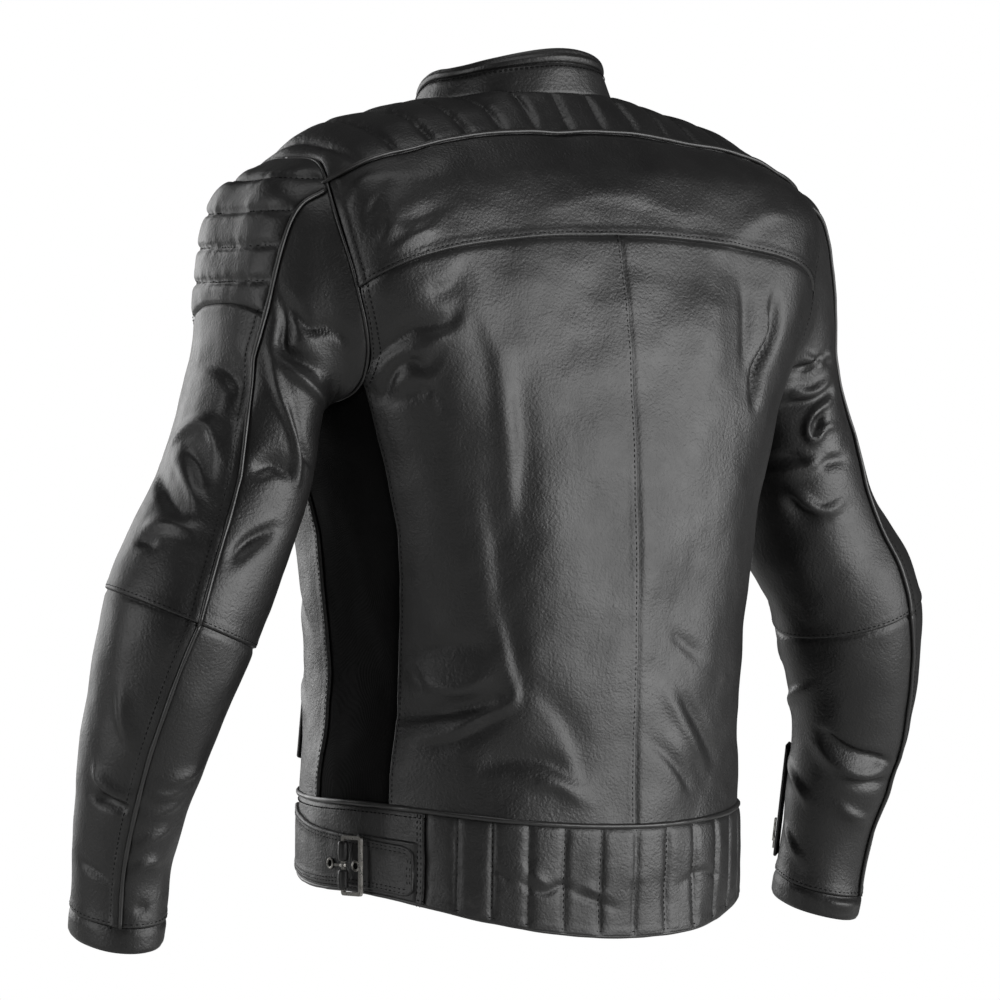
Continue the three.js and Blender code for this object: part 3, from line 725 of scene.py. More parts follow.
class Tree:
    """A node material, with short ways to add and link nodes."""

    def __init__(self, name, color, roughness, metallic=0.0, specular=0.5):
        self.material = bpy.data.materials.new(name)
        self.material.use_nodes = True
        self.tree = self.material.node_tree
        self.shader = self.tree.nodes["Principled BSDF"]
        self.shader.inputs["Base Color"].default_value = (*color, 1)
        self.shader.inputs["Roughness"].default_value = roughness
        self.shader.inputs["Metallic"].default_value = metallic
        self.shader.inputs["Specular IOR Level"].default_value = specular
        self.place = self.add("ShaderNodeTexCoord").outputs["Object"]
        self.bumps = None
        MATERIALS[name] = self.material

    def add(self, kind, inputs=None, **settings):
        node = self.tree.nodes.new(kind)
        for key, value in settings.items():
            setattr(node, key, value)
        for key, value in (inputs or {}).items():
            if isinstance(value, bpy.types.NodeSocket):
                self.tree.links.new(value, node.inputs[key])
            else:
                node.inputs[key].default_value = value
        return node

    def noise(self, scale, detail=3.0, roughness=0.5, distortion=0.0, place=None):
        values = {"Vector": place or self.place, "Scale": scale, "Detail": detail,
                  "Roughness": roughness, "Distortion": distortion}
        return self.add("ShaderNodeTexNoise", values).outputs["Fac"]

    def stretched(self, x, y, z):
        values = {"Vector": self.place, "Scale": (x, y, z)}
        return self.add("ShaderNodeMapping", values).outputs["Vector"]

    def span(self, value, low, high, start=0.0, end=1.0):
        values = {"Value": value, "From Min": start, "From Max": end, "To Min": low, "To Max": high}
        return self.add("ShaderNodeMapRange", values).outputs["Result"]

    def math(self, operation, a, b):
        return self.add("ShaderNodeMath", {0: a, 1: b}, operation=operation).outputs[0]

    def color(self, factor, first, second):
        node = self.add("ShaderNodeMix", data_type="RGBA")
        for key, value in (("A", first), ("B", second)):
            socket = next(s for s in node.inputs if s.name == key and s.type == "RGBA")
            if isinstance(value, bpy.types.NodeSocket):
                self.tree.links.new(value, socket)
            else:
                socket.default_value = (*value, 1)
        self.tree.links.new(factor, node.inputs[0])
        return next(s for s in node.outputs if s.type == "RGBA")

    def bump(self, height, distance, strength=1.0):
        values = {"Height": height, "Distance": distance, "Strength": strength}
        if self.bumps:
            values["Normal"] = self.bumps
        self.bumps = self.add("ShaderNodeBump", values).outputs["Normal"]

    def use(self, **sockets):
        for key, value in sockets.items():
            self.tree.links.new(value, self.shader.inputs[key.replace("_", " ")])
        if self.bumps:
            self.tree.links.new(self.bumps, self.shader.inputs["Normal"])


def leather_material(name, dark, pale, smooth, rough, grain=1.0):
    m = Tree(name, dark, 0.45)
    cloud = m.noise(9, 4, 0.6)
    fine = m.noise(90, 3, 0.6)
    worn = m.span(m.noise(26, 5, 0.7), 0, 1, 0.60, 0.78)
    base = m.color(cloud, dark, pale)
    base = m.color(m.math("MULTIPLY", worn, m.span(fine, 0, 0.5, 0.4, 0.8)), base, (0.055, 0.052, 0.049))
    roughness = m.math("ADD", m.span(cloud, smooth, rough, 0.3, 0.7), m.span(fine, -0.05, 0.06))
    cells = m.add("ShaderNodeTexVoronoi", {"Vector": m.place, "Scale": 560.0, "Randomness": 1.0},
                  feature="SMOOTH_F1").outputs["Distance"]
    creases = m.add("ShaderNodeTexVoronoi", {"Vector": m.place, "Scale": 210.0},
                    feature="DISTANCE_TO_EDGE").outputs["Distance"]
    m.bump(m.noise(70, 3, 0.55, 0.4), 0.0010, 0.14)
    m.bump(m.noise(380, 2, 0.5, 0.5), 0.0006, 0.50 * grain)
    m.bump(m.span(creases, 0, 1, 0, 0.22), 0.0002, 0.25 * grain)
    m.bump(cells, 0.0004, 0.40 * grain)
    m.use(Base_Color=base, Roughness=roughness)
    m.shader.inputs["Coat Weight"].default_value = 0.08
    m.shader.inputs["Coat Roughness"].default_value = 0.35


def cloth_material(name, dark, pale, rib_scale, direction, depth):
    m = Tree(name, dark, 0.9, specular=0.15)
    ribs = m.add("ShaderNodeTexWave", {"Vector": m.place, "Scale": rib_scale, "Distortion": 0.4,
                                      "Detail": 1.0}, bands_direction=direction).outputs["Fac"]
    weave = m.noise(900, 2, 0.6)
    m.bump(ribs, depth, 0.7)
    m.bump(weave, 0.0003, 0.6)
    base = m.color(m.math("MULTIPLY", ribs, weave), dark, pale)
    m.use(Base_Color=base, Roughness=m.span(weave, 0.8, 0.98))


def metal_material():
    m = Tree("metal", (0.34, 0.33, 0.31), 0.36, metallic=1.0)
    patina = m.span(m.noise(160, 5, 0.65), 0, 1, 0.42, 0.66)
    scratches = m.noise(500, 3, 0.7, place=m.stretched(1, 1, 0.12))
    base = m.color(patina, (0.42, 0.41, 0.385), (0.16, 0.152, 0.14))
    m.bump(scratches, 0.00012, 0.5)
    m.bump(patina, 0.0002, 0.3)
    m.use(Base_Color=base, Roughness=m.span(patina, 0.27, 0.5))


def floor_material():
    m = Tree("floor", (0.82, 0.82, 0.81), 0.85, specular=0.2)
    m.use(Base_Color=m.color(m.noise(3, 3), (0.83, 0.83, 0.82), (0.80, 0.80, 0.79)))


leather_material("leather", (0.0052, 0.0052, 0.0054), (0.0105, 0.0102, 0.0101), 0.38, 0.52)
leather_material("quilted_leather", (0.0052, 0.0052, 0.0054), (0.011, 0.0107, 0.0106), 0.39, 0.53)
# The piping leather's base colour is about twice the body leather's: a painted highlight along the raised
# cords and the zip welt frames.
leather_material("piping", (0.012, 0.012, 0.0122), (0.024, 0.0235, 0.023), 0.30, 0.42, grain=0.25)
for cloth in (("stretch_fabric", (0.0018, 0.0018, 0.0019), (0.0034, 0.0034, 0.0035), 900, "X", 0.0002),
              ("lining", (0.008, 0.008, 0.009), (0.022, 0.022, 0.024), 260, "Z", 0.0004),
              ("zip_tape", (0.005, 0.005, 0.0052), (0.011, 0.011, 0.011), 420, "Z", 0.0003),
              ("thread", (0.004, 0.004, 0.0042), (0.012, 0.012, 0.012), 900, "X", 0.0002)):
    cloth_material(*cloth)
metal_material()
floor_material()

# ---- the sleeves' shoulder and elbow spans

HEAD_FOLD = 0.08  # length of the span at the sleeve head, along the arm
ELBOW_FOLD = 0.09


def shoulder_bend(side, name):
    across = np.array([0.985, 0, -0.175])
    start = np.array([0.2251, 0.012, -0.150])
    end = start + across * HEAD_FOLD
    mirror = np.array([side, 1, 1])
    return ("torso", f"upper_arm_{name}", tuple(start * mirror), tuple(end * mirror))


def elbow_bend(side, name):
    row = SLEEVE[SLEEVE[:, 0] == ELBOW][0]
    along = arm_directions(row[4], row[5])[0]
    mirror = np.array([side, 1, 1])
    start, end = row[1:4] * mirror, (row[1:4] + along * ELBOW_FOLD) * mirror
    return (f"upper_arm_{name}", f"forearm_{name}", tuple(start), tuple(end))


SIDES = ((1, "left"), (-1, "right"))
DEGREES = math.radians(1)

# ---- torso

YOKE_CHANNEL = 0.033  # measured along the slope of the shoulders
SHOULDER_SLOPE = 1.04
YOKE_SINK = 0.0024  # depth of the quilting seams
CAP_CHANNEL = 0.027
CAP_FIRST_SEAM = -0.073
BAND_CHANNELS = 12


def pillow(c, height):
    """Crowned profile of a quilted channel whose seams lie at whole values of c."""
    c = c - np.floor(c)
    return height * (1 - abs(2 * c - 1) ** 5)


def pucker(points, c, size, depth, seed):
    """Small gathers running into the quilting seams, which themselves stay straight."""
    near = np.minimum(c - np.floor(c), np.ceil(c) - c)
    return depth * waves(points, size, seed) * np.exp(-near / 0.15) * (1 - np.exp(-(near / 0.05) ** 2))


def quilting(c, crown, sink, gathers, nearest, flat):
    """Relief of quilting, pressed flat within about a given distance of the nearest edge."""
    return (pillow(c, crown) - sink + gathers) * (1 - np.exp(-nearest / flat))


def yoke_shape(points, reach, s, t):
    c = points[..., 0] * SHOULDER_SLOPE / YOKE_CHANNEL + 0.5
    gathers = pucker(points * [0.4, 1, 1], c, 0.010, 0.0002, 21)
    return quilting(c, 0.0044, YOKE_SINK, gathers, np.minimum(reach["low"], reach["high"]), 0.006)


def cap_shape(points, reach, s, t):
    nearest = np.minimum.reduce([reach[edge] for edge in ("left", "right", "low", "high")])
    c = (CAP_FIRST_SEAM - points[..., 2]) / CAP_CHANNEL
    gathers = pucker(points * [1, 1, 0.4], c, 0.012, 0.0006, 23)
    return quilting(c, 0.0046, 0.0026, gathers, nearest, 0.005)


def band_shape(points, reach, s, t):
    c = s * BAND_CHANNELS
    gathers = pucker(points * [0.5, 0.5, 1], c, 0.014, 0.0004, 25)
    return quilting(c, 0.0030, 0.0014, gathers, np.minimum(reach["low"], reach["high"]), 0.005)


def add_torso():
    whole = skin(torso)
    upper = between(lambda b: -armhole_angle(b, True), lambda b: armhole_angle(b, True),
                    yoke_seam, piping_seam)
    panel("upper_back", whole, upper, (0.44, 0.115),
          {"low": "lap", "high": "under", "left": "welt", "right": "welt"}, "leather", "torso")
    yoke_end = YOKE_END - DEGREES
    yoke = between(fixed(-yoke_end), fixed(yoke_end), yoke_edge, fixed(1.0))
    piece = panel("quilted_yoke", whole, yoke, (0.62, 0.09), {"low": "turned", "high": "under"},
                  "quilted_leather", "torso", thick=0.004, step=0.0018, shape=yoke_shape)

    threads, trims = Joined(), Joined()
    stitch(threads, whole, along_edge(upper, "low", STITCH_IN, whole, 260), lift=ON_LAP)
    phi = np.linspace(-1.0, 1.0, 300) * armhole_angle(0.9, True)
    piping(trims, whole, (phi, piping_seam(phi)), 0.0018, 0.0014)
    for n in range(-8, 8):
        line = channel_line(whole, yoke, (n + 0.5) * YOKE_CHANNEL / SHOULDER_SLOPE)
        if line is not None:
            stitch(threads, whole, line, lift=-YOKE_SINK)

    for side, name in SIDES:
        at = skin(torso, side)
        half = between(fixed(0.0), back_edge, fixed(WAIST), yoke_seam)
        panel(f"lower_back_{name}", at, half, (0.2, 0.33),
              {"left": "lap" if side > 0 else "under", "right": "lap", "high": "under"},
              "leather", "torso")
        if side > 0:
            stitch(threads, at, along_edge(half, "left", STITCH_IN, at, 200), lift=ON_LAP)
        stitch(threads, at, along_edge(half, "right", STITCH_IN, at, 240), lift=ON_LAP)
        gusset = between(back_edge, front_edge, fixed(WAIST), lambda a: armhole_level(a, False))
        panel(f"side_stretch_panel_{name}", at, gusset, (0.09, 0.32),
              {"left": "under", "right": "under", "high": "under"}, "stretch_fabric", "torso",
              lift=-0.0012)
        front = between(front_edge, zip_edge, fixed(WAIST), yoke_front)
        panel(f"front_panel_{name}", at, front, (0.22, 0.5),
              {"left": "lap", "right": "lap", "high": "under"}, "leather", "torso")
        stitch(threads, at, along_edge(front, "left", STITCH_IN, at, 240), lift=ON_LAP)
        stitch(threads, at, along_edge(front, "right", STITCH_IN, at, 240), lift=ON_LAP)
        for edge_side in (True, False):
            level = np.linspace(0.61, 0.905 if edge_side else 0.86, 120)
            angle = armhole_angle(level, edge_side)
            away = -1 if edge_side else 1
            radius = np.linalg.norm(torso(angle + STEP, level) - torso(angle, level), axis=-1) / STEP
            stitch(threads, at, (angle + away * WELT / radius, level), lift=ON_WELT)
        front_phi = np.linspace(YOKE_START * 0.985, YOKE_END, 60)
        piping(trims, at, (front_phi, yoke_front(front_phi)), 0.0016, 0.0006)
    threads.make("torso_stitching", "thread", "torso", slot="leather")
    trims.make("yoke_piping", "piping", "torso", slot="leather")


def channel_line(at, place, x):
    """The yoke's quilting seam at a given x, from its lower edge to the collar, front and back."""
    t = np.linspace(0.04, 0.96, 60)
    s = np.linspace(0.5, 1, 400) if x > 0 else np.linspace(0, 0.5, 400)
    rows = []
    for share in t:
        a, b = place(s, np.full_like(s, share))
        behind = abs(a) < ARM_PHI
        points, _ = at(a, b)
        k = np.where(behind, abs(points[:, 0] - x), 9).argmin()
        if abs(points[k, 0] - x) < 0.002:
            rows.append((a[k], b[k]))
    return tuple(np.array(rows).T) if len(rows) >= 8 else None


def add_waistband():
    whole = skin(torso)
    band = between(fixed(-QUILTED_BAND), fixed(QUILTED_BAND), fixed(0.0), fixed(WAIST))
    edges = {"left": "turned", "right": "turned", "low": "lap", "high": "under"}
    piece = panel("waistband_back", whole, band, (0.36, 0.085), edges, "quilted_leather", "torso",
                  lift=0.0008, thick=0.004, step=0.0018, shape=band_shape)
    threads, trims = Joined(), Joined()
    for n in range(BAND_CHANNELS + 1):
        s = np.full(50, n / BAND_CHANNELS)
        inset = 0.012 if n in (0, BAND_CHANNELS) else 0
        s = np.clip(s, inset, 1 - inset)
        stitch(threads, whole, band(s, np.linspace(0.03, 0.95, 50)), lift=-0.0002)
    for side, name in SIDES:
        at = skin(torso, side)
        plain = between(fixed(QUILTED_BAND), zip_edge, fixed(0.0), fixed(WAIST))
        panel(f"waistband_side_{name}", at, plain, (0.33, 0.07),
              {"left": "lap", "right": "turned", "low": "lap", "high": "under"}, "leather", "torso")
        for row in (0.0035, 0.0065):
            stitch(threads, at, along_edge(plain, "left", row, at, 40), lift=ON_LAP)
        stitch(threads, at, along_edge(plain, "high", 0.006, at, 200), lift=0.0006)
    phi = np.linspace(-math.pi + 0.05, math.pi - 0.05, 500)
    stitch(threads, whole, (phi, np.full_like(phi, 0.006)), lift=0.0010)
    piping(trims, whole, (phi, np.full_like(phi, WAIST)), 0.0022, 0.0004)
    piping(trims, whole, (phi, np.full_like(phi, 0.001)), 0.0016, -0.0002)
    threads.make("waistband_stitching", "thread", "torso", slot="leather")
    trims.make("waistband_cords", "piping", "torso", slot="leather")


def add_collar():
    at = skin(collar)

    def around(low, high):
        return lambda s, t: ((-177.5 + 355 * s) * DEGREES, low + (high - low) * t)

    stand = around(-0.10, COLLAR_BAND_START)
    panel("collar_stand", at, stand, (0.47, 0.026), {"low": "turned", "high": "under"}, "leather",
          "torso", step=0.0022)

    def rolled(points, reach, s, t):
        return 0.0022 * np.sqrt(np.maximum(0, 1 - (2 * t - 1) ** 2)) - 0.0006

    band = around(COLLAR_BAND_START, 1.0)
    panel("collar_top_band", at, band, (0.47, 0.012), {}, "leather", "torso", thick=0.0042,
          step=0.0015, shape=rolled)
    threads = Joined()
    phi = np.linspace(-175, 175, 300) * DEGREES
    stitch(threads, at, (phi, np.full_like(phi, COLLAR_BAND_START - 0.10)), lift=0.0003)
    threads.make("collar_stitching", "thread", "torso", slot="leather")

    panel("collar_tab", at, lambda s, t: ((152 + 52 * s) * DEGREES, 0.2 + 0.42 * t),
          (0.065, 0.016), {edge: "lap" for edge in ("left", "right", "low", "high")},
          "leather", "collar_flap", lift=0.0034, thick=0.0022, step=0.0018)


# ---- sleeves

def add_sleeves():
    for side, name in SIDES:
        at = skin(sleeve, side)
        shoulder = shoulder_bend(side, name)
        elbow = elbow_bend(side, name)
        front = fixed(FRONT_SEAM)
        under_front = fixed(FRONT_SEAM + 2 * math.pi)
        cap = between(front, back_seam, fixed(0.0), fixed(CAP_END))
        piece = panel(f"sleeve_cap_{name}", at, cap, (0.20, 0.13),
                      {"left": "turned", "right": "turned", "low": "under", "high": "turned"},
                      "quilted_leather", shoulder, thick=0.0035, step=0.0018, shape=cap_shape)
        outer = between(front, back_seam, fixed(CAP_END), fixed(ELBOW))
        under = between(back_seam, under_front, fixed(0.0), fixed(ELBOW))
        fore_outer = between(front, back_seam, fixed(ELBOW), fixed(CUFF_BAND))
        fore_under = between(back_seam, under_front, fixed(ELBOW), fixed(CUFF_BAND))
        for part, place, size, right, low, bend in (
                ("upper_sleeve_outer", outer, (0.17, 0.24), "welt", "turned", shoulder),
                ("upper_sleeve_under", under, (0.23, 0.32), "turned", "under", shoulder),
                ("forearm_outer", fore_outer, (0.14, 0.24), "welt", "under", elbow),
                ("forearm_under", fore_under, (0.19, 0.24), "turned", "under", elbow)):
            edges = {"left": "turned", "right": right, "low": low, "high": "lap"}
            panel(f"{part}_{name}", at, place, size, edges, "leather", bend)

        def ring(s, t):
            return (s * 2 * math.pi, CUFF_BAND + (1 - CUFF_BAND) * t)

        panel(f"cuff_band_{name}", at, ring, (0.24, 0.020), {"low": "under", "high": "turned"},
              "leather", f"forearm_{name}", lift=0.0008, thick=0.0036, step=0.0022)

        upper_threads, lower_threads = Joined(), Joined()
        upper_trims, lower_trims = Joined(), Joined()
        stitch(upper_threads, at, along_edge(outer, "right", WELT, at, 200), lift=ON_WELT)
        for place in (outer, under, cap):
            stitch(upper_threads, at, along_edge(place, "high", STITCH_IN, at, 100), lift=ON_LAP)
        for n in range(4):
            line = cap_line(at, cap, CAP_FIRST_SEAM - n * CAP_CHANNEL)
            if line is not None:
                stitch(upper_threads, at, line, lift=-0.0016)
        stitch(lower_threads, at, along_edge(fore_outer, "right", WELT, at, 200), lift=ON_WELT)
        for place in (fore_outer, fore_under):
            stitch(lower_threads, at, along_edge(place, "high", STITCH_IN, at, 80), lift=ON_LAP)
        share = np.linspace(0.012, ELBOW, 220)
        piping(upper_trims, at, (back_seam(share), share), 0.0017, 0.0012)
        theta = np.linspace(0, 2 * math.pi, 240)
        piping(upper_trims, at, (theta, np.full_like(theta, 0.004)), 0.0013, -0.0002)
        share = np.linspace(ELBOW, CUFF_BAND, 140)
        piping(lower_trims, at, (back_seam(share), share), 0.0017, 0.0012)
        upper_threads.make(f"upper_sleeve_stitching_{name}", "thread", shoulder, slot="leather")
        lower_threads.make(f"forearm_stitching_{name}", "thread", elbow, slot="leather")
        upper_trims.make(f"upper_sleeve_piping_{name}", "piping", shoulder, slot="leather")
        lower_trims.make(f"forearm_piping_{name}", "piping", elbow, slot="leather")


def cap_line(at, place, z):
    """A cross seam of the sleeve cap: the line at height z between the cap's side seams."""
    t = np.linspace(0, 1, 300)
    rows = []
    for share in np.linspace(0.02, 0.98, 90):
        a, b = place(np.full_like(t, share), t)
        height = at(a, b)[0][:, 2]
        k = abs(height - z).argmin()
        if abs(height[k] - z) < 0.002 and 0.01 < t[k] < 0.985:
            rows.append((a[k], b[k]))
    return tuple(np.array(rows).T) if len(rows) >= 8 else None


# ---- lining

LINING_SEAM = 85 * DEGREES
LINING_TOP = 0.915  # it follows the armhole up to here, and keeps its angle above


def liner(name, at, place, size, attach, replaces):
    """Lining, quilted in a wide diamond to its backing."""
    def diamonds(points, reach, s, t):
        u, v = reach["left"] / 0.045, reach["low"] / 0.045
        return 0.0016 * abs(np.sin(math.pi * (u + v)) * np.sin(math.pi * (u - v))) ** 0.5

    panel(name, at, place, size, {}, "lining", attach, lift=-LINING_DEPTH, thick=0.0012,
          step=0.0045, shape=diamonds, flat=True, replaces=replaces)


def add_lining():
    def beside_armhole(back):
        def edge(level):
            hole = armhole_angle(np.minimum(level, LINING_TOP), back)
            clear = np.minimum(hole - 0.01, LINING_SEAM) if back else np.maximum(hole + 0.01, LINING_SEAM)
            return np.where(level < UNDERARM_BACK, LINING_SEAM, clear)
        return edge

    back_side, front_side = beside_armhole(True), beside_armhole(False)
    low, high = fixed(0.03), fixed(0.965)
    liner("lining_back", skin(torso), between(lambda b: -back_side(b), back_side, low, high),
          (0.5, 0.64), "torso", ("lining_back", "back_protector"))
    for side, name in SIDES:
        liner(f"lining_front_{name}", skin(torso, side),
              between(front_side, fixed(175 * DEGREES), low, high), (0.2, 0.52), "torso",
              (f"lining_front_{name}",))
        at = skin(sleeve, side)
        liner(f"upper_sleeve_lining_{name}", at,
              lambda s, t: (s * 2 * math.pi, 0.06 + (ELBOW + 0.02 - 0.06) * t), (0.33, 0.3),
              shoulder_bend(side, name), (f"upper_sleeve_lining_{name}", f"shoulder_protector_{name}"))
        liner(f"forearm_lining_{name}", at,
              lambda s, t: (s * 2 * math.pi, ELBOW + (0.975 - ELBOW) * t), (0.3, 0.24),
              elbow_bend(side, name), (f"forearm_lining_{name}", f"elbow_protector_{name}"))


# ---- zips

def box_template(x, y, z):
    """A box with chamfered upper edges, half sizes x and y, from 0 to z."""
    c = min(x, y, z) * 0.35
    return loft([[(-u, -v, w), (u, -v, w), (u, v, w), (-u, v, w)]
                 for u, v, w in ((x, y, 0), (x, y, z - c), (x - c, y - c, z))])


TOOTH_PITCH = 0.0026
TAPE_GAP = 0.0004
TAPE_THICK = 0.0009
ZIP_SINK = 0.0042  # how far the front zip lies inside the line of the front edges


def zip_run(start, end, normal, across, offset, width):
    """Tape strip and metal teeth of one zip, between two points."""
    tape, teeth = Joined(), Joined()
    length = np.linalg.norm(end - start)
    along = (end - start) / length
    count = int(length / TOOTH_PITCH)
    rows = start + (end - start) * np.linspace(0, 1, 120)[:, None]
    for sign in offset:
        edges = [rows + across * x for x in (TAPE_GAP * sign, width * sign)]
        layers = [np.stack([edge + normal * z for edge in edges]) for z in (0, -TAPE_THICK)]
        tape.add(np.stack(layers), sheet_faces(2, len(rows), sign > 0))
        shift = 0.25 if sign > 0 else 0.75
        places = (np.arange(count) + shift) / count
        origins = start + (end - start) * places[:, None] + across * (0.0012 * sign)
        axes = [np.tile(v, (count, 1)) for v in (across, along, normal)]
        teeth.add(*copies(*box_template(0.0017, TOOTH_PITCH * 0.24, 0.0016), origins, axes))
    return tape, teeth


def add_zips():
    lean = np.array([0, ZIP_LEAN, 1]) / math.hypot(ZIP_LEAN, 1)
    out = np.array([0, -lean[2], lean[1]])
    for side, name in SIDES:
        low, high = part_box(f"front_zip_tape_{name}")
        start, end = (np.array([0, ZIP_Y + ZIP_LEAN * z, z]) - out * ZIP_SINK for z in (low.z, high.z))
        tape, teeth = zip_run(start, end, out, np.array([1.0, 0, 0]), (side,), 0.015)
        piece = tape.make(f"front_zip_tape_{name}.cloth", "zip_tape", "torso")
        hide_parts(f"front_zip_tape_{name}")
        teeth.make(f"front_zip_teeth_{name}", "metal", "torso")
        add_side_zip("pocket_zip", torso, side, name, (132, 0.165), (141, 0.36), 0.0022, 0.007, "torso")
        add_side_zip("cuff_zip", sleeve, side, name, (230, 0.82), (230, 0.955), 0.0014, 0.005,
                     f"forearm_{name}")


def add_side_zip(kind, surface, side, name, low, high, lift, half, body):
    at = skin(surface, side)
    points, normals = at(np.radians([low[0], high[0]]), np.array([low[1], high[1]]))
    points = points + normals * lift
    normal = normals.sum(0)
    along = points[1] - points[0]
    normal -= along * (normal @ along) / (along @ along)
    normal = unit(normal)
    across = unit(np.cross(along, normal))
    tape, teeth = zip_run(points[0], points[1], normal, across, (1, -1), half)
    piece = tape.make(f"{kind}_tape_{name}.cloth", "zip_tape", body)
    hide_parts(f"{kind}_tape_{name}")
    teeth.make(f"{kind}_teeth_{name}", "metal", body)
    corners = [(-1, 0), (1, 0), (1, 1), (-1, 1), (-1, 0)]
    line = []
    for (x0, t0), (x1, t1) in zip(corners[:-1], corners[1:]):
        for w in np.linspace(0, 1, 24, endpoint=False):
            x, t = x0 + (x1 - x0) * w, t0 + (t1 - t0) * w
            line.append(points[0] + along * t + across * x * half * 1.02 + normal * 0.0002)
    line = np.array(line + line[:1])
    frame_trim = Joined()
    frame_trim.add(*tube(line, np.tile(normal, (len(line), 1)), 0.0014))
    frame_trim.make(f"{kind}_welt_{name}", "piping", body, slot="leather")


# ---- waist adjusters

BUCKLE_PHI, BUCKLE_LEVEL = 82.5, 0.035
STRAP_TIP, STRAP_ROOT = 60.8, 124  # degrees round from the centre back
STRAP_LOW, STRAP_HIGH, STRAP_RISE = 0.006, 0.072, 0.03
STRAP_CORNER = 4
STRAP_FACE = 0.0029
EYELETS = (79.5, 90)


def strap_place(s, t):
    along = (STRAP_ROOT - STRAP_TIP) * s
    corner = np.maximum(0, 1 - ((STRAP_CORNER - along) / STRAP_CORNER) ** 2)
    rounding = np.where(along < STRAP_CORNER, 1 - np.sqrt(corner), 0)
    high = STRAP_HIGH + STRAP_RISE * s * s
    half = (high - STRAP_LOW) / 2 * (1 - 0.36 * rounding)
    return (STRAP_TIP + along) * DEGREES, (STRAP_LOW + high) / 2 + half * (2 * t - 1)


def ring_template(radius, thickness, sides=20, around=8):
    vertices, faces = [], []
    for k in range(sides):
        a = 2 * math.pi * k / sides
        for j in range(around):
            b = 2 * math.pi * j / around
            r = radius + thickness * math.cos(b)
            vertices.append((r * math.cos(a), r * math.sin(a), thickness * 0.8 * math.sin(b)))
    for k in range(sides):
        for j in range(around):
            n, m = (k + 1) % sides, (j + 1) % around
            faces.append((k * around + j, n * around + j, n * around + m, k * around + m))
    return vertices, faces


def disc_template(radius, depth, sides=16):
    turn = np.arange(sides) * 2 * math.pi / sides
    return loft([[(radius * math.cos(a), radius * math.sin(a), z) for a in turn] for z in (-depth, 0)])


def add_adjusters():
    for side, name in SIDES:
        at = skin(torso, side)
        edges = {"left": "lap", "low": "lap", "high": "lap"}
        panel(f"waist_strap_{name}", at, strap_place, (0.19, 0.035), edges, "leather", "torso",
              lift=STRAP_FACE - 0.0006, thick=0.0022, step=0.0018)
        threads = Joined()
        for row in (0.0030, 0.0058):
            for edge, count, first, last in (("high", 160, 0.02, 0.97), ("low", 160, 0.02, 0.97),
                                             ("left", 40, 0.12, 0.88)):
                line = along_edge(strap_place, edge, row, at, count, first, last)
                stitch(threads, at, line, lift=STRAP_FACE - 0.0003)
        threads.make(f"strap_stitching_{name}", "thread", "torso", slot="leather")

        def tab(s, t):
            return (59.5 + 20 * s) * DEGREES, 0.002 + 0.076 * t

        panel(f"buckle_backing_{name}", at, tab, (0.065, 0.048),
              {"left": "turned", "low": "lap", "high": "lap", "right": "lap"}, "leather", "torso",
              lift=0.0012, step=0.0022, replaces=(f"waist_strap_{name}",))
        eyes, hole_shade = Joined(), Joined()
        points, normals = at(np.radians(EYELETS), np.full(2, BUCKLE_LEVEL))
        up = np.tile([0.0, 0, 1.0], (2, 1))
        across = unit(np.cross(up, normals))
        axes = (across, np.cross(normals, across), normals)
        eyes.add(*copies(*ring_template(0.0036, 0.0010), points + normals * (STRAP_FACE + 0.0002), axes))
        # Discs of the darkest cloth close each eyelet hole from below: painted shade standing in for the
        # dark inside of the hole.
        hole_shade.add(*copies(*disc_template(0.0031, 0.0012), points + normals * (STRAP_FACE - 0.0001), axes))
        eyes.make(f"strap_eyelets_{name}", "metal", "torso")
        hole_shade.make(f"strap_holes_{name}", "stretch_fabric", "torso", slot="leather")
        add_loop(at, name)


def add_loop(at, name):
    """Leather roll that holds the buckle's hinge bar, slotted for the prong."""
    low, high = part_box(f"buckle_loop_{name}")
    centre = np.array((low + high) / 2)
    half = (high.z - low.z) / 2
    point, normal = at(BUCKLE_PHI * DEGREES, BUCKLE_LEVEL)
    up = np.array([0.0, 0, 1.0])
    roll = Joined()
    for start, end in ((-half, -0.0035), (0.0035, half)):
        z = np.linspace(start, end, 12)
        line = centre + up * z[:, None]
        across = np.tile(normal, (len(z), 1))
        bulge = 0.0040 + 0.0004 * np.sin(np.linspace(0, math.pi, len(z)))
        bulge[[0, -1]] -= 0.0007
        roll.add(*tube(line, across, bulge, sides=18))
    piece = roll.make(f"buckle_loop_{name}.roll", "leather", "torso")
    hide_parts(f"buckle_loop_{name}")


def dress_hardware():
    """The metal CAD nodes keep their shape, with eased edges and an aged nickel finish."""
    names = ["front_zip_slider", "front_zip_pull"]
    for kind in ("pocket_zip_slider", "cuff_zip_slider", "buckle_frame", "buckle_prong"):
        names += [f"{kind}_left", f"{kind}_right"]
    for name in names:
        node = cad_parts[name]
        node.data.materials.clear()
        node.data.materials.append(MATERIALS["metal"])
        ease = node.modifiers.new("ease", "BEVEL")
        ease.width = 0.0005 if "buckle_frame" in name else 0.0003
        ease.segments = 3
        ease.limit_method = "ANGLE"
        ease.angle_limit = math.radians(40)


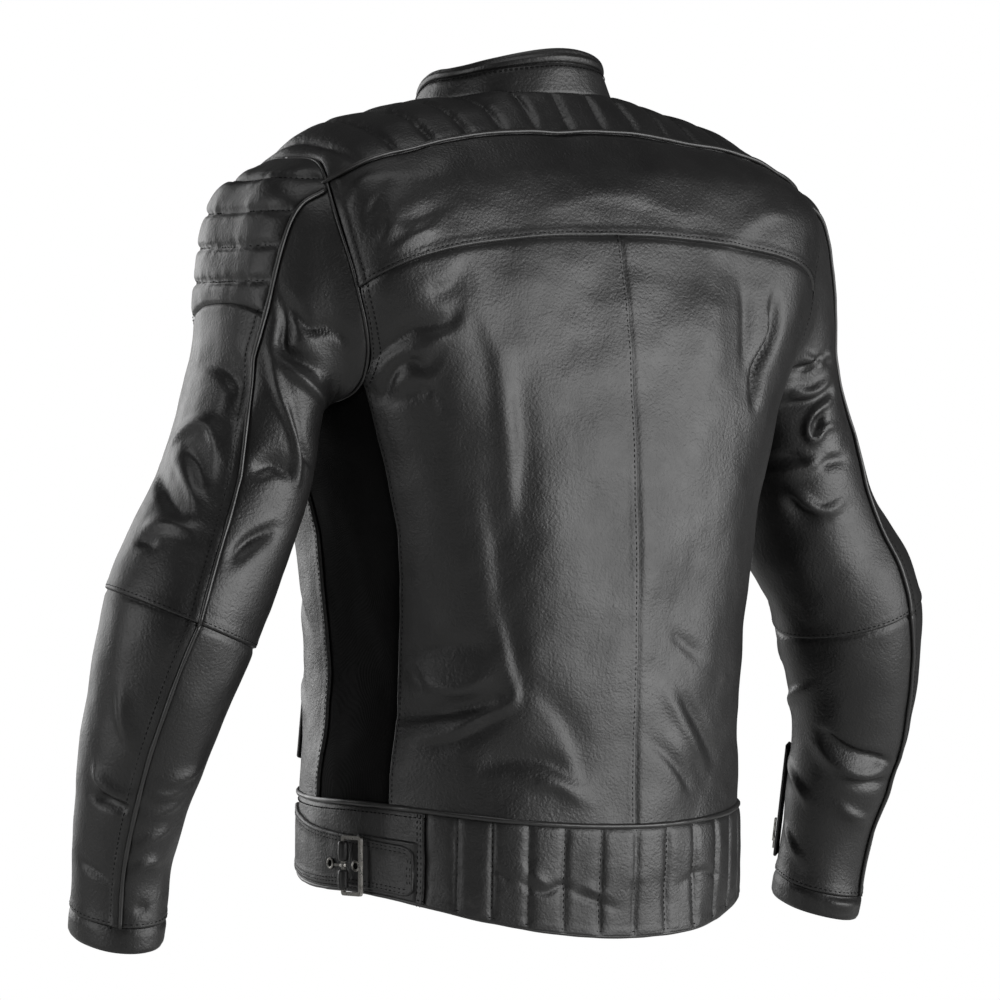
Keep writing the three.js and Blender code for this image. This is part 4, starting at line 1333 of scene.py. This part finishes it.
def add_hanger_loop():
    u = np.linspace(0, 1, 30)[:, None]
    a, b, c = np.array([(-0.026, 0.062, -0.006), (0, 0.032, -0.026), (0.026, 0.062, -0.006)])
    line = (1 - u) ** 2 * a + 2 * u * (1 - u) * b + u ** 2 * c
    strip = Joined()
    strip.add(*tube(line, np.tile([0.0, -0.5, 0.86], (30, 1)), 0.003, sides=12, squash=0.3))
    piece = strip.make("hanger_loop.strip", "lining", "torso")
    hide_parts("hanger_loop")


# ---- studio

FLOOR_LEVEL = -0.95


def add_light(name, place, aim, size, power):
    data = bpy.data.lights.new(name, "AREA")
    data.shape = "RECTANGLE"
    data.size, data.size_y = size
    data.energy = power
    light = bpy.data.objects.new(name, data)
    light.location = place
    light.rotation_euler = (Vector(aim) - Vector(place)).to_track_quat("-Z", "Y").to_euler()
    light.visible_camera = False
    COLLECTION.objects.link(light)


def add_studio():
    scene = bpy.context.scene
    scene.view_settings.view_transform = "Standard"
    world = bpy.data.worlds.new("studio")
    scene.world = world
    world.use_nodes = True
    tree = world.node_tree
    background = tree.nodes["Background"]
    background.inputs["Color"].default_value = (1, 1, 1, 1)
    seen = tree.nodes.new("ShaderNodeLightPath").outputs["Is Camera Ray"]
    strength = tree.nodes.new("ShaderNodeMapRange")
    strength.inputs["To Min"].default_value = 0.05
    strength.inputs["To Max"].default_value = 1.0
    tree.links.new(seen, strength.inputs["Value"])
    tree.links.new(strength.outputs["Result"], background.inputs["Strength"])

    bpy.ops.mesh.primitive_circle_add(vertices=96, radius=2.9, fill_type="NGON",
                                      location=(0, 0, FLOOR_LEVEL))
    floor = bpy.context.object
    floor.name = "floor"
    floor.data.materials.append(MATERIALS["floor"])

    aim = (0, 0, -0.3)
    add_light("key", (-1.45, 2.4, -0.15), aim, (3.0, 1.7), 94)
    add_light("fill", (2.5, -0.3, 0.1), aim, (0.8, 2.0), 20)
    add_light("top", (0.2, 0.5, 2.3), aim, (1.4, 1.4), 14)
    add_light("front", (0.6, -3.0, 0.3), aim, (2.2, 2.0), 40)


# ---- build

add_torso()
add_waistband()
add_collar()
add_sleeves()
add_lining()
add_zips()
add_adjusters()
add_hanger_loop()
dress_hardware()
add_studio()
